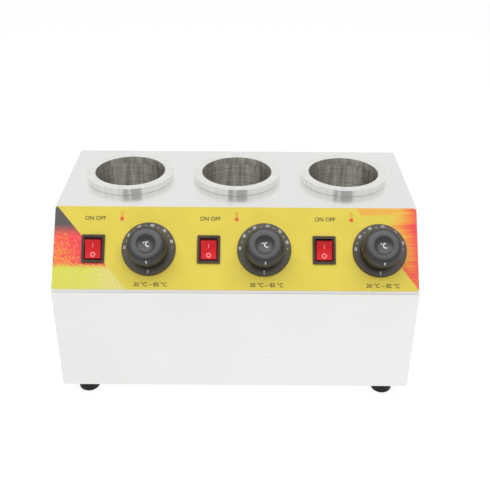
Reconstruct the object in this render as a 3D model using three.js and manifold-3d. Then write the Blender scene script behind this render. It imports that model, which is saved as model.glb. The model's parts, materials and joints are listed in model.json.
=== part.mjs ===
// A sauce bottle warmer with three heated wells, in millimetres.
// X runs to the right as the user stands, Y runs to the back and Z runs up.
// The origin lies on the table, under the middle of the whole warmer.

import * as THREE from 'three';
import { mergeVertices } from 'three/addons/utils/BufferGeometryUtils.js';
import Module from 'manifold-3d';

const wasm = await Module();
wasm.setup();

// Clearances
const seatGap = 0.2;
const fitGap = 0.3;
const cutOverrun = 2;
const weldDistance = 0.001;

// Folded steel casing: front, sloping panel, top, back and two bottom lips in one sheet
const frontHeight = 128;
const slopeRun = 62.5;
const slopeRise = 73;
const topDepth = 156.5;
const sheet = 1;
const foldRadius = 1.4;
const lipDepth = 40;

// Base plate with its slots for cooling air
const slotsPerWell = 5;
const slotLength = 60;
const slotWidth = 4;
const slotPitch = 14;

// Rubber feet and their screws
const footHeight = 18;
const footTopRadius = 12.4;
const footWaistRadius = 11.6;
const footSoleRadius = 9.2;
const footWaistRise = 4;
const footInsetX = 26.5;
const footInsetY = 20;
const footRecessRadius = 6.5;
const footRecessDepth = 10;
const footScrewRadius = 2.2;
const footScrewReach = 4;
const footScrewHeadRadius = 5;
const footScrewHeadHeight = 3.5;

// Wells: the polished ring on top and the deep cup under it
const wellNames = ['left', 'middle', 'right'];
const wellOffset = -0.75;
const rimSpacing = 23.6;
const rimEndMargin = 22.8;
const rimWidth = 10.3;
const rimCover = 1.1;
const rimHeight = 8;
const rimEdge = 0.5;
const cupDiameter = 84;
const cupWall = 1;
const cupFloorRise = 59;
const cupCorner = 5;
const cupLipReach = 5;
const cupLipThickness = 1.2;

// Band heater round each cup, closed by a screw through its two lugs
const bandThickness = 3;
const bandLift = 4;
const bandSplit = 14;
const lugThickness = 2.5;
const lugReach = 12;
const bandScrewRadius = 2;
const bandScrewHeadRadius = 4;
const bandScrewHeadHeight = 3;
const bandTerminalRadius = 3;
const bandTerminalLength = 8;

// Printed overlay on the sloping panel
const labelThickness = 0.4;
const labelFilm = 0.1;
const labelSideMargin = 1.2;
const labelBottomMargin = 3.3;
const labelTopMargin = 0.5;
const labelCorner = 3.5;

// Control places on each unit, from the middle of its well and from the lower fold
const controlRise = 48;
const dialOffset = 31;
const switchOffset = -29.5;

// Thermostat with its bush, its spindle and its liquid bulb on the cup
const thermostatSide = 38;
const thermostatHeight = 26;
const bushRadius = 5;
const bushReach = 3.6;
const spindleRadius = 3;
const spindleDepth = 12;
const thermostatTabWidth = 6.3;
const thermostatTabThickness = 0.8;
const thermostatTabLength = 8;
const thermostatTabSpacing = 20;
const bulbRadius = 3;
const bulbLength = 60;
const bulbDrop = 14;
const bulbGap = 3;
const capillaryRadius = 1;
const capillaryReach = 14;

// Fixed dial ring and the knob over it
const dialDiameter = 59;
const dialThickness = 2.4;
const dialEdge = 0.7;
const knobGap = 1.2;
const knobBase = 43;
const knobFront = 39;
const knobHeight = 24.8;
const knobSkirt = 1.5;
const knobShoulder = 5;
const knobWall = 2.4;
const knobHubRadius = 5.6;
const knobHubSetback = 2;
const knobSocketDepth = 11;
const dimpleDiameter = 21.5;
const dimpleFloorDiameter = 15;
const dimpleDepth = 3;

// Rocker switch in its snap-in housing
const bezelWidth = 25;
const bezelHeight = 31;
const bezelProud = 1.8;
const bezelSide = 2.8;
const bezelEnd = 3.4;
const bezelCorner = 1;
const switchBodyWidth = 21.8;
const switchBodyHeight = 28.6;
const switchBodyDepth = 20;
const switchTabWidth = 6.3;
const switchTabThickness = 0.8;
const switchTabLength = 8;
const switchTabSpacing = 14;
const rockerSideGap = 0.9;
const rockerEndGap = 1.4;
const rockerPivotDepth = 2;
const rockerCornerRise = 4;
const rockerDish = 1.8;
const rockerBelly = 3.7;
const rockerTilt = THREE.MathUtils.degToRad(10);
const rockerWellFloor = 6.4;
const trunnionRadius = 1.5;
const trunnionGrip = 0.6;

// Mains inlet in the back
const inletInset = 60;
const inletHeadroom = 2.5;
const inletFlangeWidth = 50;
const inletFlangeHeight = 23;
const inletFlangeThickness = 3;
const inletFlangeCorner = 4;
const inletBodyWidth = 27;
const inletBodyHeight = 19.6;
const inletBodyDepth = 20;
const inletMouthWidth = 24.2;
const inletMouthHeight = 16.4;
const inletMouthDepth = 16;
const inletMouthCorner = 3;
const inletPinWidth = 2;
const inletPinHeight = 4;
const inletPinLength = 13;
const inletPinSpacing = 14;
const inletEarthRise = 2.4;
const inletTabWidth = 6.3;
const inletTabThickness = 0.8;
const inletTabLength = 8;
const inletScrewSpacing = 40;
const inletScrewRadius = 1.6;
const inletScrewHeadRadius = 3;
const inletScrewHeadHeight = 1.8;
const inletScrewReach = 4;

// Terminal block and earth stud on the base plate
const blockLength = 62;
const blockWidth = 20;
const blockFoot = 7;
const blockBarrels = 6;
const blockBarrelWidth = 8;
const blockBarrelHeight = 10;
const studInsetX = 40;
const studInsetY = 90;
const studRadius = 2.5;
const studHeight = 14;
const studNutRadius = 4.6;
const studNutHeight = 4;
const studWasherRadius = 6;
const studWasherThickness = 1.2;

// Sleeved wiring looms
const loomRadius = 2.5;
const loomRise = 12;
const loomLaneRise = 40;
const loomReach = 16;
const supplyReach = 45;

// Counts of facets
const foldSteps = 5;
const wellSteps = 36;
const cupSteps = 28;
const bandSteps = 20;
const knobSteps = 28;
const footSteps = 16;
const screwSteps = 8;
const holeSteps = 14;
const roundSteps = 2;
const loomSides = 5;
const loomSteps = 20;
const leadSteps = 10;

// Sizes that follow from the ones above
const casingHeight = frontHeight + slopeRise;
const casingDepth = slopeRun + topDepth;
const slopeLength = Math.hypot(slopeRun, slopeRise);
const slopeAngle = Math.atan2(slopeRise, slopeRun);
const overallDepth = casingDepth + seatGap + inletFlangeThickness + seatGap + inletScrewHeadHeight;
const rimBore = cupDiameter - 2 * rimCover;
const rimDiameter = rimBore + 2 * rimWidth;
const wellPitch = rimDiameter + rimSpacing;
const wellY = slopeRun + topDepth / 2 + wellOffset;
const casingWidth = (wellNames.length - 1) * wellPitch + rimDiameter + 2 * rimEndMargin;
const cupRadius = cupDiameter / 2;
const plateBottomZ = sheet + seatGap;
const plateTopZ = plateBottomZ + sheet;
const labelTop = labelFilm + labelThickness;
const controlSeat = labelTop + fitGap;
const dialTop = controlSeat + dialThickness;
const knobBottom = dialTop + knobGap;
const bezelTop = controlSeat + bezelProud;
const pivotRise = bezelTop - rockerPivotDepth;
const behindPanel = sheet + fitGap;
const bandRadius = cupRadius + fitGap;
const bandOuter = bandRadius + bandThickness;
const bandBottomZ = cupFloorRise + bandLift;
const bulbTopZ = casingHeight - sheet - bulbDrop;
const bandHeight = bulbTopZ - bulbLength - bulbGap - bandBottomZ;
const bandMiddleZ = bandBottomZ + bandHeight / 2;
const lugOuter = bandSplit / 2 + lugThickness;
const screwHole = footScrewRadius + fitGap;
const inletX = casingWidth / 2 - inletInset;
const inletRise = cupFloorRise - inletHeadroom - inletFlangeHeight / 2;
const studX = casingWidth / 2 - studInsetX;

// Finishes
const brightSteel = { color: 0xe9e9e7, roughness: 0.3, metalness: 0.85 };
const polishedSteel = { color: 0xe4e4e2, roughness: 0.15, metalness: 1 };
const turnedSteel = { color: 0xa7a49d, roughness: 0.4, metalness: 1 };
const zincSteel = { color: 0xb9bcbd, roughness: 0.4, metalness: 0.9 };
const blackRubber = { color: 0x1c1c1e, roughness: 0.85, metalness: 0 };
const blackPlastic = { color: 0x26262a, roughness: 0.45, metalness: 0 };
const redPlastic = { color: 0xd01c1c, roughness: 0.2, metalness: 0 };
const yellowPrint = { color: 0xe2cf57, roughness: 0.5, metalness: 0 };
const whiteNylon = { color: 0xe6e3da, roughness: 0.6, metalness: 0 };
const brownCeramic = { color: 0x7a5a44, roughness: 0.7, metalness: 0 };
const copper = { color: 0xb87345, roughness: 0.35, metalness: 1 };
const glassSleeve = { color: 0xd9d3c3, roughness: 0.9, metalness: 0 };

// Turn a closed geometry into a solid that can be cut and joined.
function solidOf(geometry) {
  const bare = geometry.clone();
  bare.deleteAttribute('normal');
  bare.deleteAttribute('uv');
  const welded = mergeVertices(bare, weldDistance);
  const corners = Array.from(welded.index.array);
  const kept = [];
  for (let i = 0; i < corners.length; i += 3) {
    const [a, b, c] = corners.slice(i, i + 3);
    if (a !== b && b !== c && c !== a) kept.push(a, b, c);
  }
  const vertProperties = new Float32Array(welded.attributes.position.array);
  return new wasm.Manifold(new wasm.Mesh({ numProp: 3, vertProperties, triVerts: new Uint32Array(kept) }));
}

// Turn a solid back into a geometry.
function geometryOf(solid) {
  const mesh = solid.getMesh();
  const geometry = new THREE.BufferGeometry();
  geometry.setAttribute('position', new THREE.BufferAttribute(new Float32Array(mesh.vertProperties), 3));
  geometry.setIndex(new THREE.BufferAttribute(new Uint32Array(mesh.triVerts), 1));
  geometry.computeVertexNormals();
  return geometry;
}

// Join several closed geometries into one solid.
function joined(geometries) {
  return geometries.map(solidOf).reduce((whole, next) => whole.add(next));
}

// Cut several closed geometries out of a solid.
function cutBy(solid, geometries) {
  return geometries.map(solidOf).reduce((whole, next) => whole.subtract(next), solid);
}

// Name a solid as one piece of the warmer, with its finish.
function piece(name, solid, finish) {
  const mesh = new THREE.Mesh(geometryOf(solid), new THREE.MeshStandardMaterial(finish));
  mesh.name = name;
  return mesh;
}

// A box whose middle is at x, y and whose lowest face is at z.
function block(width, depth, height, x = 0, y = 0, z = 0) {
  return new THREE.BoxGeometry(width, depth, height).translate(x, y, z + height / 2);
}

// An upright rod that stands on z.
function rod(radius, height, steps, x = 0, y = 0, z = 0) {
  return new THREE.CylinderGeometry(radius, radius, height, steps)
    .rotateX(Math.PI / 2)
    .translate(x, y, z + height / 2);
}

// A round body turned about Z from its half outline of [radius, height] points.
function turned(profile, steps) {
  const points = profile.map(([radius, height]) => new THREE.Vector2(radius, height));
  return new THREE.LatheGeometry(points, steps).rotateX(Math.PI / 2);
}

// A ring turned about Z, whose outline closes on itself.
function turnedRing(profile, steps) {
  return turned([...profile, profile[0]], steps);
}

// Points of a quarter round in a half outline, from one angle to another.
function roundPoints(radius, height, bend, from, to) {
  return Array.from({ length: roundSteps + 1 }, (_, i) => {
    const angle = from + (to - from) * i / roundSteps;
    return [radius + bend * Math.cos(angle), height + bend * Math.sin(angle)];
  });
}

// A closed outline through corners given as [x, y, radius], each corner rounded by its radius.
function outline(corners) {
  const shape = new THREE.Shape();
  corners.forEach(([x, y, radius], i) => {
    const corner = new THREE.Vector2(x, y);
    const before = corners[(i + corners.length - 1) % corners.length];
    const after = corners[(i + 1) % corners.length];
    const incoming = new THREE.Vector2(x - before[0], y - before[1]).normalize();
    const outgoing = new THREE.Vector2(after[0] - x, after[1] - y).normalize();
    const turn = Math.atan2(incoming.cross(outgoing), incoming.dot(outgoing));
    const start = corner.clone().addScaledVector(incoming, -radius * Math.tan(Math.abs(turn) / 2));
    if (i === 0) shape.moveTo(start.x, start.y);
    else shape.lineTo(start.x, start.y);
    if (radius > 0) {
      const side = Math.sign(turn);
      const inward = new THREE.Vector2(-incoming.y, incoming.x).multiplyScalar(side);
      const centre = start.clone().addScaledVector(inward, radius);
      const from = Math.atan2(start.y - centre.y, start.x - centre.x);
      shape.absarc(centre.x, centre.y, radius, from, from + turn, turn < 0);
    }
  });
  shape.closePath();
  return shape;
}

// A rectangle with rounded corners, from its lowest to its highest corner.
function roundedRectangle(left, bottom, right, top, radius) {
  const corners = [[left, bottom], [right, bottom], [right, top], [left, top]];
  return outline(corners.map(([x, y]) => [x, y, radius]));
}

// A flat plate of one outline, from z up to z plus its thickness.
function plate(shape, thickness, z = 0) {
  const settings = { depth: thickness, bevelEnabled: false, curveSegments: foldSteps };
  return new THREE.ExtrudeGeometry(shape, settings).translate(0, 0, z);
}

// Turn a body drawn in X and Y, with its thickness along Z, into one drawn in Y and Z along X.
function turnedSideways(geometry) {
  return geometry.applyMatrix4(new THREE.Matrix4().makeBasis(
    new THREE.Vector3(0, 1, 0),
    new THREE.Vector3(0, 0, 1),
    new THREE.Vector3(1, 0, 0),
  ));
}

// A plate whose outline lies in the Y-Z plane and whose thickness runs along X.
function sidewaysPlate(shape, thickness, x) {
  return turnedSideways(plate(shape, thickness)).translate(x, 0, 0);
}

// A round tube that follows a curve.
function tubeAlong(curve, radius, sides, steps) {
  const points = Array.from({ length: sides }, (_, i) => {
    const angle = 2 * Math.PI * i / sides;
    return new THREE.Vector2(radius * Math.cos(angle), radius * Math.sin(angle));
  });
  return new THREE.ExtrudeGeometry(new THREE.Shape(points), { steps, extrudePath: curve });
}

// A lead that leaves its start along one direction and meets its end against another.
function leadCurve(start, startWay, end, endWay, reach) {
  const leaving = start.clone().addScaledVector(startWay, reach);
  const arriving = end.clone().addScaledVector(endWay, reach);
  return new THREE.CubicBezierCurve3(start, leaving, arriving, end);
}

// A place on the sloping panel as a point of the casing: along X, up the slope and out of it.
function onPanel(x, up, out) {
  const y = up * Math.cos(slopeAngle) - out * Math.sin(slopeAngle);
  const z = frontHeight + up * Math.sin(slopeAngle) + out * Math.cos(slopeAngle);
  return new THREE.Vector3(x, y, z);
}

// The middle of each well along X.
function wellX(index) {
  return (index - (wellNames.length - 1) / 2) * wellPitch;
}

// The corners of the casing's side profile, set in from the outside by an offset.
function profileCorners(offset) {
  const outer = [
    [0, 0],
    [0, frontHeight],
    [slopeRun, casingHeight],
    [casingDepth, casingHeight],
    [casingDepth, 0],
  ];
  const inward = outer.map((corner, i) => {
    const next = outer[(i + 1) % outer.length];
    const way = new THREE.Vector2(next[0] - corner[0], next[1] - corner[1]).normalize();
    return new THREE.Vector2(way.y, -way.x);
  });
  return outer.map(([y, z], i) => {
    const before = inward[(i + outer.length - 1) % outer.length];
    const after = inward[i];
    const reach = offset / (1 + before.dot(after));
    return [y + (before.x + after.x) * reach, z + (before.y + after.y) * reach];
  });
}

// The folded sheet: outside round the profile from lip to lip, then back along the inside.
function casingOutline() {
  const outside = profileCorners(0).map(([y, z]) => [y, z, foldRadius]);
  const inside = profileCorners(sheet).map(([y, z]) => [y, z, foldRadius - sheet]);
  return outline([
    [lipDepth, 0, 0],
    ...outside,
    [casingDepth - lipDepth, 0, 0],
    [casingDepth - lipDepth, sheet, 0],
    ...inside.reverse(),
    [lipDepth, sheet, 0],
  ]);
}

// Where the four feet stand, with the words that name them.
function footPlaces() {
  const x = casingWidth / 2 - footInsetX;
  return [
    ['front_left', -x, footInsetY],
    ['front_right', x, footInsetY],
    ['back_left', -x, casingDepth - footInsetY],
    ['back_right', x, casingDepth - footInsetY],
  ];
}

// Upright holes for the foot screws, through the casing's lips and the base plate.
function footScrewHoles() {
  const height = plateTopZ + 2 * cutOverrun;
  return footPlaces().map(([, x, y]) => rod(screwHole, height, holeSteps, x, y, -cutOverrun));
}

// Turn a cutter from the panel's own frame into the casing's.
function tiltedToPanel(geometry) {
  return geometry.rotateX(slopeAngle).translate(0, 0, frontHeight);
}

// Cutters through the panel for each switch body and each thermostat bush.
function controlCutters() {
  const height = 2 * (behindPanel + controlSeat) + cutOverrun;
  return wellNames.flatMap((_, i) => [
    block(
      switchBodyWidth + 2 * fitGap,
      switchBodyHeight + 2 * fitGap,
      height,
      wellX(i) + switchOffset,
      controlRise,
      -height / 2,
    ),
    rod(bushRadius + fitGap, height, holeSteps, wellX(i) + dialOffset, controlRise, -height / 2),
  ]);
}

// Holes in the back for the inlet's body and its two screws.
function inletCutters() {
  const depth = sheet + 2 * cutOverrun;
  const window = block(
    inletBodyWidth + 2 * seatGap,
    depth,
    inletBodyHeight + 2 * seatGap,
    inletX,
    casingDepth - sheet / 2,
    inletRise - inletBodyHeight / 2 - seatGap,
  );
  const holes = [-1, 1].map((side) => (
    inletScrewRod(inletScrewRadius + fitGap, depth, side, -depth / 2 - sheet / 2)
  ));
  return [window, ...holes];
}

// A rod along Y on the axis of one of the inlet's screws, from an offset behind the back face.
function inletScrewRod(radius, length, side, offset) {
  const x = inletX + side * inletScrewSpacing / 2;
  return new THREE.CylinderGeometry(radius, radius, length, screwSteps)
    .translate(x, casingDepth + offset + length / 2, inletRise);
}

function casingShell() {
  const wrap = solidOf(sidewaysPlate(casingOutline(), casingWidth, -casingWidth / 2));
  const holeBottom = casingHeight - sheet - cutOverrun;
  const wellCutters = wellNames.map((_, i) => (
    rod(cupRadius + 2 * seatGap, sheet + 2 * cutOverrun, cupSteps, wellX(i), wellY, holeBottom)
  ));
  return cutBy(wrap, [
    ...wellCutters,
    ...controlCutters().map(tiltedToPanel),
    ...inletCutters(),
    ...footScrewHoles(),
  ]);
}

// A flat cheek that closes one end of the folded casing, inside its sheet.
function sidePanel(side) {
  const inset = sheet + seatGap;
  const corners = profileCorners(inset).map(([y, z]) => [y, z, foldRadius - inset]);
  const x = side < 0 ? -casingWidth / 2 : casingWidth / 2 - sheet;
  return solidOf(sidewaysPlate(outline(corners), sheet, x));
}

function basePlate() {
  const width = casingWidth - 2 * (sheet + seatGap);
  const depth = casingDepth - 2 * foldRadius;
  const flat = solidOf(block(width, depth, sheet, 0, casingDepth / 2, plateBottomZ));
  const slots = wellNames.flatMap((_, i) => Array.from({ length: slotsPerWell }, (_unused, k) => {
    const y = casingDepth / 2 + (k - (slotsPerWell - 1) / 2) * slotPitch;
    return block(slotLength, slotWidth, sheet + 2 * cutOverrun, wellX(i), y, plateBottomZ - cutOverrun);
  }));
  return cutBy(flat, [...slots, ...footScrewHoles()]);
}

// A rubber foot that stands on z = 0, with a recess in its sole for the screw's head.
function foot() {
  return solidOf(turnedRing([
    [footRecessRadius, 0],
    [footSoleRadius, 0],
    [footWaistRadius, footWaistRise],
    [footTopRadius, footHeight / 2],
    [footTopRadius, footHeight],
    [screwHole, footHeight],
    [screwHole, footRecessDepth],
    [footRecessRadius, footRecessDepth],
  ], footSteps));
}

// A screw with a round head under its shank, on the foot's own axis.
function footScrew() {
  const headTop = footRecessDepth - seatGap;
  const tip = footHeight + seatGap + plateTopZ + footScrewReach;
  return solidOf(turned([
    [0, headTop - footScrewHeadHeight],
    [footScrewHeadRadius, headTop - footScrewHeadHeight],
    [footScrewHeadRadius, headTop],
    [footScrewRadius, headTop],
    [footScrewRadius, tip],
    [0, tip],
  ], screwSteps));
}

// The polished ring on the top plate, whose underside clears the cup's lip.
function wellRim() {
  const outer = rimDiameter / 2;
  const inner = rimBore / 2;
  const lipClear = cupRadius + cupLipReach + seatGap;
  const ceiling = seatGap + cupLipThickness + seatGap;
  return solidOf(turnedRing([
    [lipClear, fitGap],
    [outer, fitGap],
    ...roundPoints(outer - rimEdge, rimHeight - rimEdge, rimEdge, 0, Math.PI / 2),
    ...roundPoints(inner + rimEdge, rimHeight - rimEdge, rimEdge, Math.PI / 2, Math.PI),
    [inner, ceiling],
    [lipClear, ceiling],
  ], wellSteps));
}

// The deep-drawn cup, hung by its lip from the top plate, with z = 0 at that plate.
function wellCup() {
  const inner = cupRadius - cupWall;
  const bend = cupCorner - cupWall;
  const floor = cupFloorRise - casingHeight;
  const lipTop = seatGap + cupLipThickness;
  return solidOf(turned([
    [0, floor - cupWall],
    ...roundPoints(cupRadius - cupCorner, floor - cupWall + cupCorner, cupCorner, -Math.PI / 2, 0),
    [cupRadius, seatGap],
    [cupRadius + cupLipReach, seatGap],
    [cupRadius + cupLipReach, lipTop],
    [inner, lipTop],
    ...roundPoints(inner - bend, floor + bend, bend, 0, -Math.PI / 2),
    [0, floor],
  ], cupSteps));
}

// The split band heater in casing height, open to the back, with two lugs and two side terminals.
function heaterBand() {
  const openOuter = Math.PI / 2 - Math.asin(lugOuter / bandOuter);
  const openInner = Math.PI / 2 - Math.asin(bandSplit / 2 / bandRadius);
  const lugEnd = bandOuter + lugReach;
  const shape = new THREE.Shape();
  shape.moveTo(-bandSplit / 2, lugEnd);
  shape.lineTo(-lugOuter, lugEnd);
  shape.absarc(0, 0, bandOuter, Math.PI - openOuter, 2 * Math.PI + openOuter, false);
  shape.lineTo(lugOuter, lugEnd);
  shape.lineTo(bandSplit / 2, lugEnd);
  shape.absarc(0, 0, bandRadius, openInner, -Math.PI - openInner, true);
  shape.closePath();
  const settings = { depth: bandHeight, bevelEnabled: false, curveSegments: bandSteps };
  const band = solidOf(new THREE.ExtrudeGeometry(shape, settings).translate(0, 0, bandBottomZ));
  const terminalX = -bandOuter - bandTerminalLength / 2 + bandThickness / 2;
  const terminals = [-1, 1].map((side) => (
    new THREE.CylinderGeometry(bandTerminalRadius, bandTerminalRadius, bandTerminalLength, screwSteps)
      .rotateZ(Math.PI / 2)
      .translate(terminalX, 0, bandMiddleZ + side * bandHeight / 4)
  ));
  const hole = new THREE.CylinderGeometry(
    bandScrewRadius + fitGap,
    bandScrewRadius + fitGap,
    2 * (lugOuter + cutOverrun),
    screwSteps,
  ).rotateZ(Math.PI / 2).translate(0, bandOuter + lugReach / 2, bandMiddleZ);
  return cutBy(band.add(joined(terminals)), [hole]);
}

// The screw that draws the two lugs together, with its nut run on.
function bandScrew() {
  const seat = lugOuter + seatGap;
  const end = seat + bandScrewHeadHeight;
  return solidOf(turned([
    [0, -end],
    [bandScrewHeadRadius, -end],
    [bandScrewHeadRadius, -seat],
    [bandScrewRadius, -seat],
    [bandScrewRadius, seat],
    [bandScrewHeadRadius, seat],
    [bandScrewHeadRadius, end],
    [0, end],
  ], screwSteps).rotateY(Math.PI / 2).translate(0, bandOuter + lugReach / 2, bandMiddleZ));
}

// The printed overlay in the panel's own frame: X along it, Y up the slope and Z out of it.
function controlLabel() {
  const halfWidth = casingWidth / 2 - labelSideMargin;
  const top = slopeLength - labelTopMargin;
  const shape = roundedRectangle(-halfWidth, labelBottomMargin, halfWidth, top, labelCorner);
  return cutBy(solidOf(plate(shape, labelThickness, labelFilm)), controlCutters());
}

// The thermostat's case behind the panel, its threaded bush through it and two tabs at its back.
function thermostatCase() {
  const back = -behindPanel - thermostatHeight;
  const box = block(thermostatSide, thermostatSide, thermostatHeight, 0, 0, back);
  const bush = rod(bushRadius, behindPanel + bushReach + fitGap, holeSteps, 0, 0, -behindPanel - fitGap);
  const tabs = [-1, 1].map((side) => block(
    thermostatTabThickness,
    thermostatTabWidth,
    thermostatTabLength + fitGap,
    side * thermostatTabSpacing / 2,
    0,
    back - thermostatTabLength,
  ));
  const boreLength = spindleDepth + bushReach + cutOverrun;
  const bore = rod(spindleRadius + fitGap, boreLength, holeSteps, 0, 0, -spindleDepth);
  return cutBy(joined([box, bush, ...tabs]), [bore]);
}

// The spindle from inside the thermostat to the floor of the knob's socket.
function thermostatSpindle() {
  const bottom = fitGap - spindleDepth;
  const top = knobBottom + knobHubSetback + knobSocketDepth - fitGap;
  return solidOf(rod(spindleRadius, top - bottom, holeSteps, 0, 0, bottom));
}

// The liquid bulb on the cup's front wall and its capillary to the thermostat, in casing places.
function sensingBulb(index) {
  const bulbY = wellY - cupRadius - fitGap - bulbRadius;
  const bulb = rod(bulbRadius, bulbLength, screwSteps, wellX(index), bulbY, bulbTopZ - bulbLength);
  const start = onPanel(wellX(index) + dialOffset, controlRise, -behindPanel - thermostatHeight - fitGap);
  const inward = onPanel(0, 0, -1).sub(onPanel(0, 0, 0));
  const end = new THREE.Vector3(wellX(index), bulbY, bulbTopZ - bulbRadius);
  const curve = leadCurve(start, inward, end, new THREE.Vector3(0, 0, 1), capillaryReach);
  return joined([bulb, tubeAlong(curve, capillaryRadius, loomSides, leadSteps)]);
}

// The fixed ring that carries the figures.
function dialRing() {
  const outer = dialDiameter / 2;
  const bore = bushRadius + fitGap;
  return solidOf(turnedRing([
    [bore, controlSeat],
    [outer, controlSeat],
    [outer, dialTop - dialEdge],
    [outer - dialEdge, dialTop],
    [bore, dialTop],
  ], knobSteps));
}

// The knob: a skirt that tapers to a rounded shoulder, a dished front, and a hub inside.
function knob() {
  const base = knobBase / 2;
  const front = knobFront / 2;
  const top = knobBottom + knobHeight;
  const ceiling = top - dimpleDepth - knobWall;
  const socketTop = knobBottom + knobHubSetback + knobSocketDepth;
  const shoulder = roundPoints(front - knobShoulder, top - knobShoulder, knobShoulder, 0, Math.PI / 2);
  return solidOf(turned([
    [0, socketTop],
    [spindleRadius + fitGap, socketTop],
    [spindleRadius + fitGap, knobBottom + knobHubSetback],
    [knobHubRadius, knobBottom + knobHubSetback],
    [knobHubRadius, ceiling],
    [front - knobShoulder, ceiling],
    [base - knobWall, knobBottom],
    [base, knobBottom],
    [base, knobBottom + knobSkirt],
    ...shoulder,
    [dimpleDiameter / 2, top],
    [dimpleFloorDiameter / 2, top - dimpleDepth],
    [0, top - dimpleDepth],
  ], knobSteps));
}

// The switch housing: a bezel on the label, a body through the panel, and tabs at its back.
function switchHousing() {
  const side = bezelWidth / 2;
  const end = bezelHeight / 2;
  const bezel = plate(roundedRectangle(-side, -end, side, end, bezelCorner), bezelProud, controlSeat);
  const back = -switchBodyDepth;
  const body = block(switchBodyWidth, switchBodyHeight, controlSeat + fitGap - back, 0, 0, back);
  const tabs = [-1, 1].flatMap((across) => [-1, 1].map((along) => block(
    switchTabWidth,
    switchTabThickness,
    switchTabLength + fitGap,
    across * switchBodyWidth / 4,
    along * switchTabSpacing / 2,
    back - switchTabLength,
  )));
  const openingWidth = bezelWidth - 2 * bezelSide;
  const openingHeight = bezelHeight - 2 * bezelEnd;
  const floor = pivotRise - rockerWellFloor;
  const opening = block(openingWidth, openingHeight, bezelTop + cutOverrun - floor, 0, 0, floor);
  const pivotHole = new THREE.CylinderGeometry(
    trunnionRadius + fitGap,
    trunnionRadius + fitGap,
    openingWidth + 2 * (trunnionGrip + fitGap),
    screwSteps,
  ).rotateZ(Math.PI / 2).translate(0, 0, pivotRise);
  return cutBy(joined([bezel, body, ...tabs]), [opening, pivotHole]);
}

// The rocker about its own pivot: round ends, a dished top and a trunnion on each side.
function rocker() {
  const reach = bezelHeight / 2 - bezelEnd - rockerEndGap;
  const width = bezelWidth - 2 * bezelSide - 2 * rockerSideGap;
  const upper = Math.asin(rockerCornerRise / reach);
  const lower = Math.asin(rockerBelly / reach);
  const cornerY = reach * Math.cos(upper);
  const shape = new THREE.Shape();
  shape.absarc(0, 0, reach, -lower, upper, false);
  shape.quadraticCurveTo(0, rockerCornerRise - 2 * rockerDish, -cornerY, rockerCornerRise);
  shape.absarc(0, 0, reach, Math.PI - upper, Math.PI + lower, false);
  shape.closePath();
  const settings = { depth: width, bevelEnabled: false, curveSegments: foldSteps };
  const rockerBody = turnedSideways(new THREE.ExtrudeGeometry(shape, settings)).translate(-width / 2, 0, 0);
  const pin = new THREE.CylinderGeometry(
    trunnionRadius,
    trunnionRadius,
    width + 2 * (rockerSideGap + trunnionGrip),
    screwSteps,
  ).rotateZ(Math.PI / 2);
  return joined([rockerBody, pin]);
}

// The mains inlet: a flange on the back, a body through it, a mouth with three pins, and tabs inside.
function mainsInlet() {
  const flangeY = casingDepth + seatGap;
  const mouthFloorY = flangeY + inletFlangeThickness - inletMouthDepth;
  const upright = new THREE.Matrix4().makeRotationX(Math.PI / 2);
  const flangeShape = roundedRectangle(
    inletX - inletFlangeWidth / 2,
    inletRise - inletFlangeHeight / 2,
    inletX + inletFlangeWidth / 2,
    inletRise + inletFlangeHeight / 2,
    inletFlangeCorner,
  );
  const mouthShape = roundedRectangle(
    inletX - inletMouthWidth / 2,
    inletRise - inletMouthHeight / 2,
    inletX + inletMouthWidth / 2,
    inletRise + inletMouthHeight / 2,
    inletMouthCorner,
  );
  const flange = plate(flangeShape, inletFlangeThickness).applyMatrix4(upright)
    .translate(0, flangeY + inletFlangeThickness, 0);
  const body = block(
    inletBodyWidth,
    inletBodyDepth + fitGap,
    inletBodyHeight,
    inletX,
    flangeY + fitGap - (inletBodyDepth + fitGap) / 2,
    inletRise - inletBodyHeight / 2,
  );
  const mouth = plate(mouthShape, inletMouthDepth + cutOverrun).applyMatrix4(upright)
    .translate(0, mouthFloorY + inletMouthDepth + cutOverrun, 0);
  const places = [[-1, 0], [0, inletEarthRise], [1, 0]];
  const pins = places.map(([side, rise]) => block(
    inletPinWidth,
    inletPinLength + fitGap,
    inletPinHeight,
    inletX + side * inletPinSpacing / 2,
    mouthFloorY - fitGap + (inletPinLength + fitGap) / 2,
    inletRise - inletPinHeight / 2 + rise,
  ));
  const tabs = places.map(([side, rise]) => block(
    inletTabWidth,
    inletTabLength + fitGap,
    inletTabThickness,
    inletX + side * inletPinSpacing / 2,
    flangeY - inletBodyDepth - (inletTabLength - fitGap) / 2,
    inletRise + rise,
  ));
  const holes = [-1, 1].map((side) => (
    inletScrewRod(inletScrewRadius + fitGap, inletFlangeThickness + 2 * cutOverrun, side, -cutOverrun)
  ));
  return cutBy(joined([flange, body]), [mouth, ...holes]).add(joined([...pins, ...tabs]));
}

// One of the two screws that hold the inlet's flange to the back.
function inletScrew(side) {
  const headY = seatGap + inletFlangeThickness + seatGap;
  const shankStart = -sheet - inletScrewReach;
  const shank = inletScrewRod(inletScrewRadius, headY + fitGap - shankStart, side, shankStart);
  return joined([shank, inletScrewRod(inletScrewHeadRadius, inletScrewHeadHeight, side, headY)]);
}

// The terminal block on the base plate, under the middle well.
function terminalBlock() {
  const bottom = plateTopZ + seatGap;
  const pitch = blockLength / blockBarrels;
  const strip = block(blockLength, blockWidth, blockFoot, 0, wellY, bottom);
  const barrels = Array.from({ length: blockBarrels }, (_, i) => block(
    blockBarrelWidth,
    blockWidth / 2,
    blockBarrelHeight + fitGap,
    (i - (blockBarrels - 1) / 2) * pitch,
    wellY,
    bottom + blockFoot - fitGap,
  ));
  return joined([strip, ...barrels]);
}

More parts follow.
